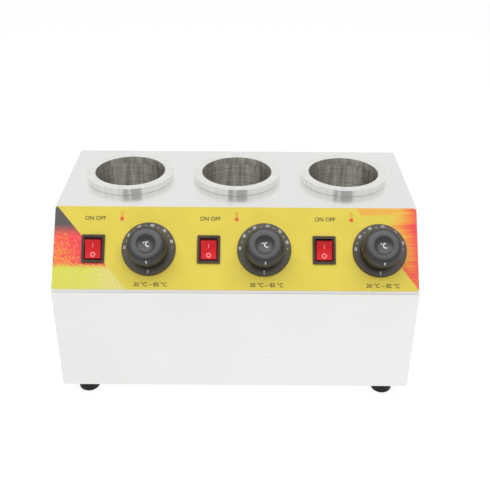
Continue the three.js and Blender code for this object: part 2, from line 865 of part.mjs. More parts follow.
// The earth stud on the base plate, with its washer and nut.
function earthStud() {
  const bottom = plateTopZ + seatGap;
  return solidOf(turned([
    [0, bottom],
    [studWasherRadius, bottom],
    [studWasherRadius, bottom + studWasherThickness],
    [studNutRadius, bottom + studWasherThickness],
    [studNutRadius, bottom + studWasherThickness + studNutHeight],
    [studRadius, bottom + studWasherThickness + studNutHeight],
    [studRadius, bottom + studHeight],
    [0, bottom + studHeight],
  ], screwSteps).translate(studX, studInsetY, 0));
}

// The lane that a unit's loom climbs in, halfway to the neighbour on the left of its well.
function loomLane(index) {
  return wellX(index) - wellPitch / 2;
}

// Where a unit's loom leaves the terminal block: the left one sideways along the base plate,
// the others upwards, each as its first points on the way to its lane.
function loomStart(index) {
  const blockBottom = plateTopZ + seatGap;
  if (index === 0) {
    const low = blockBottom + blockFoot / 2;
    return [
      new THREE.Vector3(-blockLength / 2 - fitGap, wellY, low),
      new THREE.Vector3(-blockLength / 2 - loomRise, wellY, low),
      new THREE.Vector3(loomLane(index) + 2 * loomRise, wellY, low + loomRise / 2),
    ];
  }
  const x = (index - 1) * blockLength / 3;
  const top = blockBottom + blockFoot + blockBarrelHeight + fitGap;
  return [
    new THREE.Vector3(x, wellY, top),
    new THREE.Vector3(x, wellY, top + loomRise),
  ];
}

// A unit's loom: from the terminal block up beside its cup to the switch,
// with one branch to the thermostat and one to the heater.
function unitLoom(index) {
  const laneX = loomLane(index);
  const inward = onPanel(0, 0, -1).sub(onPanel(0, 0, 0));
  const toFront = new THREE.Vector3(0, -1, 0);
  const switchBack = -switchBodyDepth - switchTabLength - fitGap;
  const switchEnd = onPanel(wellX(index) + switchOffset, controlRise, switchBack);
  const heaterZ = bandMiddleZ + bandHeight / 4;
  const bend = new THREE.Vector3(laneX, wellY - loomReach, bandBottomZ + bandHeight + loomReach);
  const trunk = new THREE.CatmullRomCurve3([
    ...loomStart(index),
    new THREE.Vector3(laneX, wellY, loomLaneRise),
    new THREE.Vector3(laneX, wellY, heaterZ),
    bend,
    switchEnd.clone().addScaledVector(inward, loomReach),
    switchEnd,
  ]);
  const thermostatBack = -behindPanel - thermostatHeight - thermostatTabLength - fitGap;
  const thermostatX = wellX(index) + dialOffset - thermostatTabSpacing / 2;
  const thermostatEnd = onPanel(thermostatX, controlRise, thermostatBack);
  const thermostatBranch = leadCurve(bend, toFront, thermostatEnd, inward, loomReach);
  const terminalX = wellX(index) - bandOuter - bandTerminalLength + bandThickness / 2 - fitGap;
  const heaterBranch = new THREE.LineCurve3(
    new THREE.Vector3(laneX, wellY, heaterZ),
    new THREE.Vector3(terminalX, wellY, heaterZ),
  );
  return joined([
    tubeAlong(trunk, loomRadius, loomSides, loomSteps),
    tubeAlong(thermostatBranch, loomRadius, loomSides, leadSteps),
    tubeAlong(heaterBranch, loomRadius, loomSides, 1),
  ]);
}

// The supply loom from the inlet's tabs to the terminal block, with the earth lead to its stud.
function supplyLoom() {
  const inletBackY = casingDepth + seatGap - inletBodyDepth - inletTabLength - fitGap;
  const start = new THREE.Vector3(inletX, inletBackY, inletRise);
  const blockEnd = new THREE.Vector3(blockLength / 2 + fitGap, wellY, plateTopZ + seatGap + blockFoot / 2);
  const toFront = new THREE.Vector3(0, -1, 0);
  const supply = leadCurve(start, toFront, blockEnd, new THREE.Vector3(1, 0, 0), supplyReach);
  const studTop = new THREE.Vector3(studX, studInsetY, plateTopZ + seatGap + studHeight + fitGap);
  const earth = leadCurve(supply.getPoint(1 / 4), toFront, studTop, new THREE.Vector3(0, 0, 1), loomRise);
  return joined([
    tubeAlong(supply, loomRadius, loomSides, leadSteps),
    tubeAlong(earth, loomRadius, loomSides, leadSteps),
  ]);
}

// A group of pieces at a place.
function groupAt(x, y, z, pieces) {
  const group = new THREE.Group();
  group.position.set(x, y, z);
  group.add(...pieces);
  return group;
}

// The ring, cup, heater and its screw of one well.
function wellPieces(name, index) {
  return [
    groupAt(wellX(index), wellY, casingHeight, [
      piece(`${name}_well_rim`, wellRim(), polishedSteel),
      piece(`${name}_well_cup`, wellCup(), turnedSteel),
    ]),
    groupAt(wellX(index), wellY, 0, [
      piece(`${name}_heater_band`, heaterBand(), turnedSteel),
      piece(`${name}_heater_band_screw`, bandScrew(), zincSteel),
    ]),
    piece(`${name}_sensing_bulb`, sensingBulb(index), copper),
    piece(`${name}_wiring_loom`, unitLoom(index), glassSleeve),
  ];
}

// The dial, knob, spindle and thermostat, then the switch and its rocker, of one unit.
function controlPieces(name, index) {
  const rockerMesh = piece(`${name}_switch_rocker`, rocker(), redPlastic);
  rockerMesh.position.z = pivotRise;
  rockerMesh.rotation.x = rockerTilt;
  return [
    groupAt(wellX(index) + dialOffset, controlRise, 0, [
      piece(`${name}_dial_ring`, dialRing(), blackPlastic),
      piece(`${name}_knob`, knob(), blackPlastic),
      piece(`${name}_thermostat`, thermostatCase(), brownCeramic),
      piece(`${name}_thermostat_spindle`, thermostatSpindle(), zincSteel),
    ]),
    groupAt(wellX(index) + switchOffset, controlRise, 0, [
      piece(`${name}_switch_housing`, switchHousing(), blackPlastic),
      rockerMesh,
    ]),
  ];
}

// The sloping panel's group, turned so that its Z axis points out of the panel.
const panelGroup = groupAt(0, 0, frontHeight, [
  piece('control_label', controlLabel(), yellowPrint),
  ...wellNames.flatMap(controlPieces),
]);
panelGroup.rotation.x = slopeAngle;

// The feet and their screws, under the casing.
const feet = footPlaces().map(([name, x, y]) => groupAt(x, y, -seatGap - footHeight, [
  piece(`${name}_foot`, foot(), blackRubber),
  piece(`${name}_foot_screw`, footScrew(), zincSteel),
]));

const warmer = groupAt(0, -overallDepth / 2, footHeight + seatGap, [
  piece('casing_shell', casingShell(), brightSteel),
  piece('left_side_panel', sidePanel(-1), brightSteel),
  piece('right_side_panel', sidePanel(1), brightSteel),
  piece('base_plate', basePlate(), brightSteel),
  panelGroup,
  ...wellNames.flatMap(wellPieces),
  ...feet,
  piece('mains_inlet', mainsInlet(), blackPlastic),
  piece('left_inlet_screw', inletScrew(-1), zincSteel),
  piece('right_inlet_screw', inletScrew(1), zincSteel),
  piece('terminal_block', terminalBlock(), whiteNylon),
  piece('earth_stud', earthStud(), zincSteel),
  piece('supply_loom', supplyLoom(), glassSleeve),
]);

export default warmer;
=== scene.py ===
"""Looks of a countertop warmer for three sauce bottles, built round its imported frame.

The row frame is in metres, with +X to the user's right, +Y to the back and +Z up.
Sizes in this file are millimetres unless a name or a docstring says otherwise.
"""

import json
import logging
import math
from collections.abc import Sequence
from dataclasses import dataclass
from enum import Enum

import bmesh
import bpy
import numpy as np
from mathutils import Matrix, Vector


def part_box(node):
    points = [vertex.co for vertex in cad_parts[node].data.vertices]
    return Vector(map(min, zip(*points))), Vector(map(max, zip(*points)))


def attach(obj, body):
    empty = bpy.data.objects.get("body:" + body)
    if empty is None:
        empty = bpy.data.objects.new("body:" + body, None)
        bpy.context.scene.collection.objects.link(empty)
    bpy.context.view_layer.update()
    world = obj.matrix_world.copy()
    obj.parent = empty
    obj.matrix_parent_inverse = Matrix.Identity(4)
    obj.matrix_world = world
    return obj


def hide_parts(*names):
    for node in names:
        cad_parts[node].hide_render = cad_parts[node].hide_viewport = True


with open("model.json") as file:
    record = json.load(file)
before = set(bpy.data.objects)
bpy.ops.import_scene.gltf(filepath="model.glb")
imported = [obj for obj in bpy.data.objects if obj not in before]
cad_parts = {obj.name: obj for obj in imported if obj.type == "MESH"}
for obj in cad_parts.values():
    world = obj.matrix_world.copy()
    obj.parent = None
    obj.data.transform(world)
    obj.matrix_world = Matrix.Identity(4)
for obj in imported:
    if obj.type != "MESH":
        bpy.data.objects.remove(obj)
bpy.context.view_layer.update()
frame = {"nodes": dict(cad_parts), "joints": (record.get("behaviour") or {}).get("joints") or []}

log = logging.getLogger("warmer")

MM = 0.001
ARC_STEPS = 8
LATHE_STEPS = 120
WELD = 1e-6
SMOOTH_ANGLE = math.radians(32)
PRINT_LIFT = 0.02
PRINT_THICKNESS = 0.05
CASING = "casing"
UNITS = ("left", "middle", "right")
FOOT_CORNERS = ("front_left", "front_right", "back_left", "back_right")
SWITCH_HOLE = (22.4, 29.2)
BUSH_HOLE = 5.3

Material = bpy.types.Material
Mesh = bpy.types.Mesh
Node = bpy.types.Node
Socket = bpy.types.NodeSocket
Thing = bpy.types.Object
Tree = bpy.types.NodeTree


class Slot(Enum):
    """The record's material slots."""

    SHEET = "stainless_sheet"
    POLISHED = "polished_steel"
    TURNED = "turned_steel"
    ZINC = "zinc_steel"
    OVERLAY = "printed_overlay"
    BLACK = "black_plastic"
    RED = "red_plastic"
    RUBBER = "black_rubber"
    NYLON = "white_nylon"
    PHENOLIC = "phenolic"
    COPPER = "copper"
    SLEEVE = "glass_sleeve"


# Colour and node helpers


def linear(hex_colour: str) -> tuple[float, float, float, float]:
    """Turn an sRGB hex colour such as E2D05A into linear red, green, blue and alpha."""
    shares = np.array([int(hex_colour[i:i + 2], 16) for i in (0, 2, 4)]) / 255
    low = shares / 12.92
    high = ((shares + 0.055) / 1.055) ** 2.4
    return (*np.where(shares <= 0.04045, low, high).tolist(), 1.0)


def per(millimetres: float) -> float:
    """Give the texture scale, in repeats to the metre, of a pattern of that size."""
    return 1 / (millimetres * MM)


def wire(tree: Tree, node: Node, inputs: dict) -> None:
    """Link or set a node's sockets.

    Args:
        tree: the node tree that holds the node.
        node: the node.
        inputs: socket names or numbers, each with a value or with the output that feeds it.
    """
    for key, value in inputs.items():
        if isinstance(value, Socket):
            tree.links.new(value, node.inputs[key])
        else:
            node.inputs[key].default_value = value


def add(tree: Tree, kind: str, inputs: dict | None = None, **settings) -> Node:
    """Add a node with its settings, values and links.

    Args:
        tree: the node tree that gets the node.
        kind: Blender's name of the node, without its leading ShaderNode.
        inputs: socket names or numbers, each with a value or with the output that feeds it.
        settings: the node's own settings, and stops for a colour ramp.

    Returns:
        The new node.
    """
    made = tree.nodes.new("ShaderNode" + kind)
    stops = settings.pop("stops", None)
    for key, value in settings.items():
        setattr(made, key, value)
    wire(tree, made, inputs or {})
    if stops:
        ramp = made.color_ramp
        for _ in stops[2:]:
            ramp.elements.new(0.5)
        for element, (place, colour) in zip(ramp.elements, stops):
            element.position = place
            element.color = colour
    return made


def new_material(name: str) -> tuple[Material, Tree, Node]:
    """Make an empty node material.

    Args:
        name: the material's name.

    Returns:
        The material, its tree and its Principled shader.
    """
    material = bpy.data.materials.new(name)
    material.use_nodes = True
    tree = material.node_tree
    return material, tree, tree.nodes["Principled BSDF"]


# Shape helpers


def coordinates(mesh: Mesh) -> np.ndarray:
    """Give a mesh's vertices as rows of x, y and z."""
    points = np.empty(len(mesh.vertices) * 3)
    mesh.vertices.foreach_get("co", points)
    return points.reshape(-1, 3)


def placed(name: str, data: bpy.types.ID) -> Thing:
    """Make an object of a mesh, text, camera or lamp and put it in the scene."""
    thing = bpy.data.objects.new(name, data)
    bpy.context.scene.collection.objects.link(thing)
    return thing


@dataclass(frozen=True)
class Place:
    """A right-handed set of directions on the warmer, with its origin in metres."""

    origin: Vector
    across: Vector
    up: Vector
    out: Vector

    def basis(self) -> np.ndarray:
        """Give the three directions as rows."""
        return np.array([self.across, self.up, self.out])

    def points(self, local: np.ndarray) -> np.ndarray:
        """Turn millimetres along across, up and out into metres of the row frame."""
        return np.array(self.origin) + np.asarray(local, float) @ self.basis() * MM

    def local(self, points: np.ndarray) -> np.ndarray:
        """Turn metres of the row frame into millimetres along across, up and out."""
        return (np.asarray(points, float) - np.array(self.origin)) @ self.basis().T / MM

    def moved(self, across: float = 0, up: float = 0, out: float = 0) -> "Place":
        """Give the same directions from an origin moved by millimetres."""
        return Place(Vector(self.points([across, up, out])), self.across, self.up, self.out)

    def tilted(self, angle: float) -> "Place":
        """Give the place turned about its across direction by an angle in radians."""
        turn = Matrix.Rotation(angle, 3, self.across)
        return Place(self.origin, self.across, turn @ self.up, turn @ self.out)

    def spun(self, angle: float) -> "Place":
        """Give the place turned about its out direction by an angle in radians."""
        turn = Matrix.Rotation(angle, 3, self.out)
        return Place(self.origin, turn @ self.across, turn @ self.up, self.out)

    def box(self, node: str) -> tuple[np.ndarray, np.ndarray]:
        """Give a CAD node's lowest and highest reach along this place's directions."""
        local = self.local(coordinates(frame["nodes"][node].data))
        return local.min(axis=0), local.max(axis=0)


def level(spot: Vector) -> Place:
    """Give a spot with level directions: right and back, and its out direction up."""
    return Place(spot, Vector((1, 0, 0)), Vector((0, 1, 0)), Vector((0, 0, 1)))


def upright(node: str) -> Place:
    """Give the level place under the middle of a CAD node."""
    low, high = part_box(node)
    return level(Vector(((low.x + high.x) / 2, (low.y + high.y) / 2, low.z)))


def path(corners: Sequence[Sequence[float]], closed: bool = False) -> np.ndarray:
    """Draw a line through corners, each rounded by its own radius.

    An arc touches both sides of its corner at radius times the tangent of half the turn, and
    its points are its start turned about its centre by equal shares of the turn.

    Args:
        corners: rows of x, y and radius.
        closed: whether the last corner joins the first.

    Returns:
        The points as rows of x and y, with ARC_STEPS + 1 points to each rounded corner.
    """
    rows = np.array(corners, float)
    spots, radii = rows[:, :2], rows[:, 2:3]
    before = np.roll(spots, 1, axis=0)
    after = np.roll(spots, -1, axis=0)
    incoming = spots - before
    outgoing = after - spots
    incoming /= np.linalg.norm(incoming, axis=1, keepdims=True)
    outgoing /= np.linalg.norm(outgoing, axis=1, keepdims=True)
    cross = incoming[:, 0] * outgoing[:, 1] - incoming[:, 1] * outgoing[:, 0]
    turn = np.arctan2(cross, (incoming * outgoing).sum(axis=1))[:, None]
    start = spots - incoming * radii * np.tan(np.abs(turn) / 2)
    centre = start + np.stack([-incoming[:, 1], incoming[:, 0]], axis=1) * radii * np.sign(turn)
    angle = turn * np.linspace(0, 1, ARC_STEPS + 1)
    spoke = (start - centre)[:, None, :]
    turned = np.stack([
        spoke[..., 0] * np.cos(angle) - spoke[..., 1] * np.sin(angle),
        spoke[..., 0] * np.sin(angle) + spoke[..., 1] * np.cos(angle),
    ], axis=-1)
    arcs = centre[:, None, :] + turned
    if closed:
        return arcs.reshape(-1, 2)
    inner = arcs[1:-1].reshape(-1, 2)
    line = np.concatenate([spots[:1], inner, spots[-1:]])
    kept = np.r_[True, np.linalg.norm(np.diff(line, axis=0), axis=1) > WELD]
    return line[kept]


def inset(corners: np.ndarray, radius: float, depth: float) -> np.ndarray:
    """Draw a closed outline set in from its corners.

    Each corner moves along the sum of its two inward normals, times depth over one plus their
    product, and its radius shrinks by the depth.

    Args:
        corners: the outline's corners, anticlockwise, as rows of x and y.
        radius: the corners' radius at no depth.
        depth: how far the outline is set in.

    Returns:
        The points as rows of x and y, always as many for the same corners.
    """
    corners = np.array(corners, float)
    way = np.roll(corners, -1, axis=0) - corners
    way /= np.linalg.norm(way, axis=1, keepdims=True)
    inward = np.stack([-way[:, 1], way[:, 0]], axis=1)
    last = np.roll(inward, 1, axis=0)
    reach = depth / (1 + (inward * last).sum(axis=1, keepdims=True))
    moved = corners + (inward + last) * reach
    radii = np.full((len(corners), 1), max(radius - depth, 0))
    return path(np.hstack([moved, radii]), closed=True)


def rectangle(width: float, height: float) -> np.ndarray:
    """Give the corners of a rectangle round the origin, anticlockwise."""
    return np.array([[-1, -1], [1, -1], [1, 1], [-1, 1]]) * [width / 2, height / 2]


def circle(radius: float, steps: int = LATHE_STEPS) -> np.ndarray:
    """Give points round a circle, anticlockwise from its right."""
    angle = np.linspace(0, 2 * np.pi, steps, endpoint=False)
    return radius * np.stack([np.cos(angle), np.sin(angle)], axis=1)


def rings(outlines: Sequence[np.ndarray], heights: Sequence[float]) -> np.ndarray:
    """Stack outlines of equal counts at their heights into a grid of points."""
    flat = np.stack(outlines)
    lift = np.broadcast_to(np.array(heights, float)[:, None, None], (*flat.shape[:2], 1))
    return np.concatenate([flat, lift], axis=2)


def finished(name: str, points: np.ndarray, faces: list, marks: np.ndarray | None = None) -> Thing:
    """Make a smooth closed mesh object, welded and with its faces outwards.

    Args:
        name: the piece's name.
        points: the vertices in metres.
        faces: lists of vertex numbers.
        marks: the UV place of each face corner in turn, in metres.

    Returns:
        The new object, at the origin.
    """
    mesh = bpy.data.meshes.new(name)
    mesh.from_pydata(points.tolist(), [], faces)
    if marks is not None:
        mesh.uv_layers.new(name="surface").uv.foreach_set("vector", marks.astype(np.float32).ravel())
    shape = bmesh.new()
    shape.from_mesh(mesh)
    bmesh.ops.remove_doubles(shape, verts=shape.verts, dist=WELD)
    bmesh.ops.recalc_face_normals(shape, faces=shape.faces)
    shape.to_mesh(mesh)
    shape.free()
    mesh.shade_smooth()
    mesh.set_sharp_from_angle(angle=SMOOTH_ANGLE)
    return placed(name, mesh)


def loft(name: str, grid: np.ndarray, place: Place, hollow: bool = False) -> Thing:
    """Skin a stack of closed outlines, one grid row to an outline.

    The surface is the grid itself: each point joins its neighbour round its outline and the
    same point of the next outline. Its UV map holds the length round the outlines and the
    length along the stack, both in metres.

    Args:
        name: the piece's name.
        grid: points in millimetres, as outlines by points by three.
        place: where the grid's axes lie.
        hollow: whether the last outline joins the first, instead of both being capped.

    Returns:
        The new object.
    """
    rows, columns = grid.shape[:2]
    number = np.arange(rows * columns).reshape(rows, columns)
    if hollow:
        number = np.vstack([number, number[:1]])
    around = np.hstack([number, number[:, :1]])
    quads = np.stack([around[:-1, :-1], around[:-1, 1:], around[1:, 1:], around[1:, :-1]], axis=-1)
    loop = np.concatenate([grid, grid[:1]]) if hollow else grid
    along = np.r_[0, np.cumsum(np.linalg.norm(np.diff(loop, axis=0), axis=2).mean(axis=1))] * MM
    girth = np.linalg.norm(np.roll(grid, -1, axis=1) - grid, axis=2).max(axis=0)
    round_it = np.r_[0, np.cumsum(girth)] * MM
    u, v = np.meshgrid(round_it, along)
    marks = np.stack([u, v], axis=-1)
    corners = np.stack([marks[:-1, :-1], marks[:-1, 1:], marks[1:, 1:], marks[1:, :-1]], axis=2)
    faces = quads.reshape(-1, 4).tolist()
    marks_flat = corners.reshape(-1, 2)
    if not hollow:
        for row in (0, -1):
            faces.append(number[row].tolist())
            marks_flat = np.vstack([marks_flat, grid[row, :, :2] * MM])
    return finished(name, place.points(grid.reshape(-1, 3)), faces, marks_flat)


def turned(name: str, profile: np.ndarray, place: Place, hollow: bool = False) -> Thing:
    """Turn a half outline of radius and height about a place's out direction.

    A point of the surface is radius times the cosine and sine of the angle, and its height.

    Args:
        name: the piece's name.
        profile: rows of radius and height.
        place: the axis and its foot.
        hollow: whether the profile closes on itself, as a ring's does.

    Returns:
        The new object.
    """
    unit = circle(1)
    grid = rings([unit * radius for radius in profile[:, 0]], profile[:, 1])
    return loft(name, grid, place, hollow)


def slab(name: str, low: np.ndarray, high: np.ndarray, place: Place) -> Thing:
    """Close the space between two open grids of equal size into one thin body.

    Args:
        name: the piece's name.
        low: the lower grid in millimetres, as rows by columns by three.
        high: the upper grid.
        place: where the grids' axes lie.

    Returns:
        The new object.
    """
    rows, columns = low.shape[:2]
    number = np.arange(rows * columns).reshape(rows, columns)
    quads = np.stack([number[:-1, :-1], number[:-1, 1:], number[1:, 1:], number[1:, :-1]], axis=-1)
    lower = quads.reshape(-1, 4)
    upper = lower[:, ::-1] + rows * columns
    edge = np.concatenate([number[0, :-1], number[:-1, -1], number[-1, :0:-1], number[:0:-1, 0]])
    further = np.roll(edge, -1)
    walls = np.stack([edge, edge + rows * columns, further + rows * columns, further], axis=1)
    faces = np.concatenate([lower, upper, walls]).tolist()
    points = np.concatenate([low.reshape(-1, 3), high.reshape(-1, 3)])
    return finished(name, place.points(points), faces)


def joined(things: Sequence[Thing]) -> Thing:
    """Join several objects into the first one and give it back."""
    shape = bmesh.new()
    for thing in things:
        shape.from_mesh(thing.data)
    shape.to_mesh(things[0].data)
    shape.free()
    for thing in things[1:]:
        bpy.data.objects.remove(thing)
    return things[0]


def evaluated(thing: Thing) -> Mesh:
    """Give an object's mesh as its modifiers or its text leave it."""
    bpy.context.view_layer.update()
    final = thing.evaluated_get(bpy.context.evaluated_depsgraph_get())
    return bpy.data.meshes.new_from_object(final)


def cut(body: Thing, cutters: Sequence[Thing]) -> Thing:
    """Cut closed bodies out of another and give it back, with its mesh replaced."""
    cutter = joined(cutters)
    knife = body.modifiers.new("cut", "BOOLEAN")
    knife.object = cutter
    knife.solver = "EXACT"
    mesh = evaluated(body)
    body.modifiers.remove(knife)
    body.data = mesh
    bpy.data.objects.remove(cutter)
    mesh.shade_smooth()
    mesh.set_sharp_from_angle(angle=SMOOTH_ANGLE)
    return body


def rounded(thing: Thing, width: float, steps: int = 3) -> Thing:
    """Round a piece's sharp edges by a width in millimetres."""
    bevel = thing.modifiers.new("edges", "BEVEL")
    bevel.width = width * MM
    bevel.segments = steps
    bevel.limit_method = "ANGLE"
    bevel.angle_limit = SMOOTH_ANGLE
    bevel.harden_normals = True
    return thing


def dressed(
    thing: Thing,
    material: Material,
    body: str = CASING,
    stands_for: Sequence[str] = (),
) -> Thing:
    """Give a finished piece its material and body.

    Args:
        thing: the piece.
        material: its finish.
        body: the CAD body that it moves with.
        stands_for: CAD nodes that it replaces.

    Returns:
        The piece.
    """
    thing.data.materials.clear()
    thing.data.materials.append(material)
    if not any(m.type == "BEVEL" for m in thing.modifiers):
        flats = thing.modifiers.new("flats", "WEIGHTED_NORMAL")
        flats.keep_sharp = True
    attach(thing, body)
    if stands_for:
        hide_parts(*stands_for)
    log.info("%s: %d faces, rides on %s", thing.name, len(thing.data.polygons), body)
    return thing


def repainted(node: str, material: Material) -> None:
    """Give a CAD node that stays as it is its procedural material."""
    thing = frame["nodes"][node]
    thing.data.materials.clear()
    thing.data.materials.append(material)
    log.info("%s: CAD solid with %s", node, material.name)


def lettering(name: str, words: str, height: float, place: Place, bold: float = 0.0) -> Thing:
    """Print words as a thin body, centred on a place and lifted off it.

    Args:
        name: the piece's name.
        words: what it says.
        height: the height of a capital letter.
        place: the middle of the words, on the printed surface.
        bold: how far each stroke is widened.

    Returns:
        The new object.
    """
    capital_share = 0.7
    text = bpy.data.curves.new(name, "FONT")
    text.body = words
    text.size = height / capital_share
    text.align_x = "CENTER"
    text.extrude = PRINT_THICKNESS / 2
    text.offset = bold
    holder = placed(name, text)
    mesh = evaluated(holder)
    bpy.data.objects.remove(holder)
    points = coordinates(mesh) + [0, -height / 2, PRINT_LIFT + PRINT_THICKNESS / 2]
    mesh.vertices.foreach_set("co", place.points(points).astype(np.float32).ravel())
    mesh.update()
    return placed(name, mesh)


# Finishes


@dataclass(frozen=True)
class Finish:
    """What the finishes share: two tones and a roughness, each moved by a pattern.

    The span is the tone pattern's values at the shade and at the colour. The spread is how far
    the roughness goes below and above its own value. The relief is the bump's strength and its
    height in millimetres.
    """

    name: str
    colour: str
    shade: str
    roughness: float
    span: tuple[float, float] = (0.35, 0.65)
    spread: tuple[float, float] = (0.06, 0.06)
    relief: tuple[float, float] = (0.15, 0.02)
    metallic: float = 0.0

    def patterns(self, tree: Tree) -> tuple[Socket, Socket]:
        """Draw the pattern of the tones, and the one of the roughness and the height."""
        raise NotImplementedError

    def settings(self, tree: Tree) -> dict:
        """Give the shader's other sockets, each with its value or the output that feeds it."""
        return {}

    def noise(self, tree: Tree, size: float, detail: float) -> Socket:
        """Draw noise through the whole object, with blobs of a size in millimetres."""
        place = add(tree, "TexCoord").outputs["Object"]
        blobs = {"Vector": place, "Scale": per(size), "Detail": detail}
        return add(tree, "TexNoise", blobs).outputs[0]

    def build(self) -> Material:
        """Make the material from its patterns and settings.

        Returns:
            The material.
        """
        material, tree, shader = new_material(self.name)
        tone, grain = self.patterns(tree)
        stops = list(zip(self.span, (linear(self.shade), linear(self.colour))))
        rough: Socket | float = self.roughness
        if any(self.spread):
            ends = {3: self.roughness - self.spread[0], 4: self.roughness + self.spread[1]}
            rough = add(tree, "MapRange", {0: grain, **ends}).outputs[0]
        wire(tree, shader, {
            "Base Color": add(tree, "ValToRGB", {0: tone}, stops=stops).outputs[0],
            "Roughness": rough,
            "Metallic": self.metallic,
            **self.settings(tree),
        })
        strength, height = self.relief
        if strength:
            bump = add(tree, "Bump", {"Strength": strength, "Distance": height * MM, "Height": grain})
            wire(tree, shader, {"Normal": bump.outputs[0]})
        return material


@dataclass(frozen=True)
class StainlessSheet(Finish):
    """Cold-rolled stainless sheet, ground to a fine satin.

    It gives the eye an almost white, even metal with a soft sheen drawn out along the sheet.
    The grit lines are about 0.1 mm apart on the real sheet; they are drawn at 0.7 mm, as
    coarse as they need to be to show.
    """

    span: tuple[float, float] = (0.1, 0.4)
    spread: tuple[float, float] = (0.04, 0.05)
    relief: tuple[float, float] = (0.05, 0.02)
    metallic: float = 1.0
    grit: float = 0.7
    streak: float = 60.0
    cloud: float = 140.0

    def patterns(self, tree: Tree) -> tuple[Socket, Socket]:
        """Draw long streaks, with slow clouds in their tone."""
        place = add(tree, "TexCoord").outputs["Object"]
        along = (per(self.streak), per(self.grit), per(self.grit))
        drawn = add(tree, "Mapping", {"Vector": place, "Scale": along}).outputs[0]
        lines = add(tree, "TexNoise", {"Vector": drawn, "Scale": 1.0, "Detail": 3.0}).outputs[0]
        cloud = self.noise(tree, self.cloud, 2.0)
        both = add(tree, "Math", {0: lines, 1: cloud}, operation="MULTIPLY").outputs[0]
        return both, lines


@dataclass(frozen=True)
class TurnedSteel(Finish):
    """Stainless steel turned on a lathe, with tool lines round it.

    It gives the eye fine rings that follow the turning, and, where it is only spun and not
    polished, soft streaks along the wall. The rings follow the piece's own UV map. The tool
    lines are drawn wider apart than the real 0.1 mm, so that they show. Reflections stretch
    across the tool lines by the stretch.
    """

    span: tuple[float, float] = (0.38, 0.6)
    tool_feed: float = 0.9
    streak: float = 5.0
    ring_length: float = 20.0
    streak_length: float = 12.0
    metallic: float = 1.0
    stretch: float = 0.0
    stretch_turn: float = 0.25

    def patterns(self, tree: Tree) -> tuple[Socket, Socket]:
        """Draw rings across the UV map's length, with streaks along it in their tone."""
        marks = add(tree, "UVMap", uv_map="surface").outputs[0]
        patterns = []
        for scale, detail in (
            ((per(self.streak * self.ring_length), per(self.tool_feed), 1.0), 4.0),
            ((per(self.streak), per(self.streak * self.streak_length), 1.0), 2.0),
        ):
            drawn = add(tree, "Mapping", {"Vector": marks, "Scale": scale}).outputs[0]
            noise = add(tree, "TexNoise", {"Vector": drawn, "Scale": 1.0, "Detail": detail})
            patterns.append(noise.outputs[0])
        ring, streaks = patterns
        mixed = add(tree, "Math", {0: ring, 1: streaks}, operation="ADD").outputs[0]
        halved = add(tree, "Math", {0: mixed, 1: 0.5}, operation="MULTIPLY").outputs[0]
        return halved, ring

    def settings(self, tree: Tree) -> dict:
        """Stretch its reflections by its UV map."""
        around = add(tree, "Tangent", direction_type="UV_MAP", uv_map="surface")
        return {
            "Tangent": around.outputs[0],
            "Anisotropic": self.stretch,
            "Anisotropic Rotation": self.stretch_turn,
        }


@dataclass(frozen=True)
class Moulding(Finish):
    """A moulded plastic, ceramic or rubber with a fine sparked grain.

    It gives the eye a soft even sheen that breaks up a little, and a faint cloud in its tone
    where the melt ran. The grain is drawn at several times its real 0.05 mm, so that it shows.
    """

    grain: float = 0.35
    cloud: float = 14.0
    gloss: float = 0.5
    translucent: float = 0.0
    bleed: float = 1.5

    def patterns(self, tree: Tree) -> tuple[Socket, Socket]:
        """Draw a slow cloud for the tone and a fine grain for the rest."""
        return self.noise(tree, self.cloud, 3.0), self.noise(tree, self.grain, 2.0)

    def settings(self, tree: Tree) -> dict:
        """Set the gloss and how much light goes through."""
        return {
            "Specular IOR Level": self.gloss,
            "Subsurface Weight": self.translucent,
            "Subsurface Scale": self.bleed * MM,
        }


@dataclass(frozen=True)
class PlatedMetal(Finish):
    """A small metal part, plated or drawn, with a mottled bright skin.

    It gives the eye a cool glint that breaks into faint patches, as zinc or tin plate does.
    """

    spread: tuple[float, float] = (0.08, 0.1)
    relief: tuple[float, float] = (0.1, 0.01)
    metallic: float = 1.0
    patch: float = 2.5

    def patterns(self, tree: Tree) -> tuple[Socket, Socket]:
        """Draw patches."""
        return (self.noise(tree, self.patch, 3.0),) * 2


@dataclass(frozen=True)
class BraidedSleeve(Finish):
    """A braided glass-fibre sleeve over the leads inside the casing.

    It gives the eye a matt cream cord with a diagonal plait, which repeats about every 7.5 mm.
    That is two pi times the plait, because Blender draws its wave bands as sines, at 20 radians
    to one unit.
    """

    span: tuple[float, float] = (0.2, 0.8)
    spread: tuple[float, float] = (0.0, 0.0)
    relief: tuple[float, float] = (0.4, 0.1)
    plait: float = 1.2
    band_radians: float = 20.0
    lean: float = 0.7
    wobble: float = 0.5

    def patterns(self, tree: Tree) -> tuple[Socket, Socket]:
        """Draw two crossed sets of diagonal bands."""
        place = add(tree, "TexCoord").outputs["Object"]
        bands = []
        for lean in (self.lean, -self.lean):
            leant = add(tree, "Mapping", {"Vector": place, "Rotation": (lean, lean, 0)}).outputs[0]
            scale = per(self.plait) / self.band_radians
            waves = {"Vector": leant, "Scale": scale, "Distortion": self.wobble}
            bands.append(add(tree, "TexWave", waves).outputs["Fac"])
        weave = add(tree, "Math", {0: bands[0], 1: bands[1]}, operation="MAXIMUM").outputs[0]
        return weave, weave


@dataclass(frozen=True)
class ScreenInk(Finish):
    """A screen-printed ink.

    It gives the eye a matt mark that is a little uneven in tone, as ink through a mesh is.
    """

    roughness: float = 0.55
    span: tuple[float, float] = (0.3, 0.6)
    spread: tuple[float, float] = (0.1, 0.1)
    relief: tuple[float, float] = (0.0, 0.0)
    speck: float = 0.6

    def patterns(self, tree: Tree) -> tuple[Socket, Socket]:
        """Draw the mesh's speckle."""
        return (self.noise(tree, self.speck, 2.0),) * 2


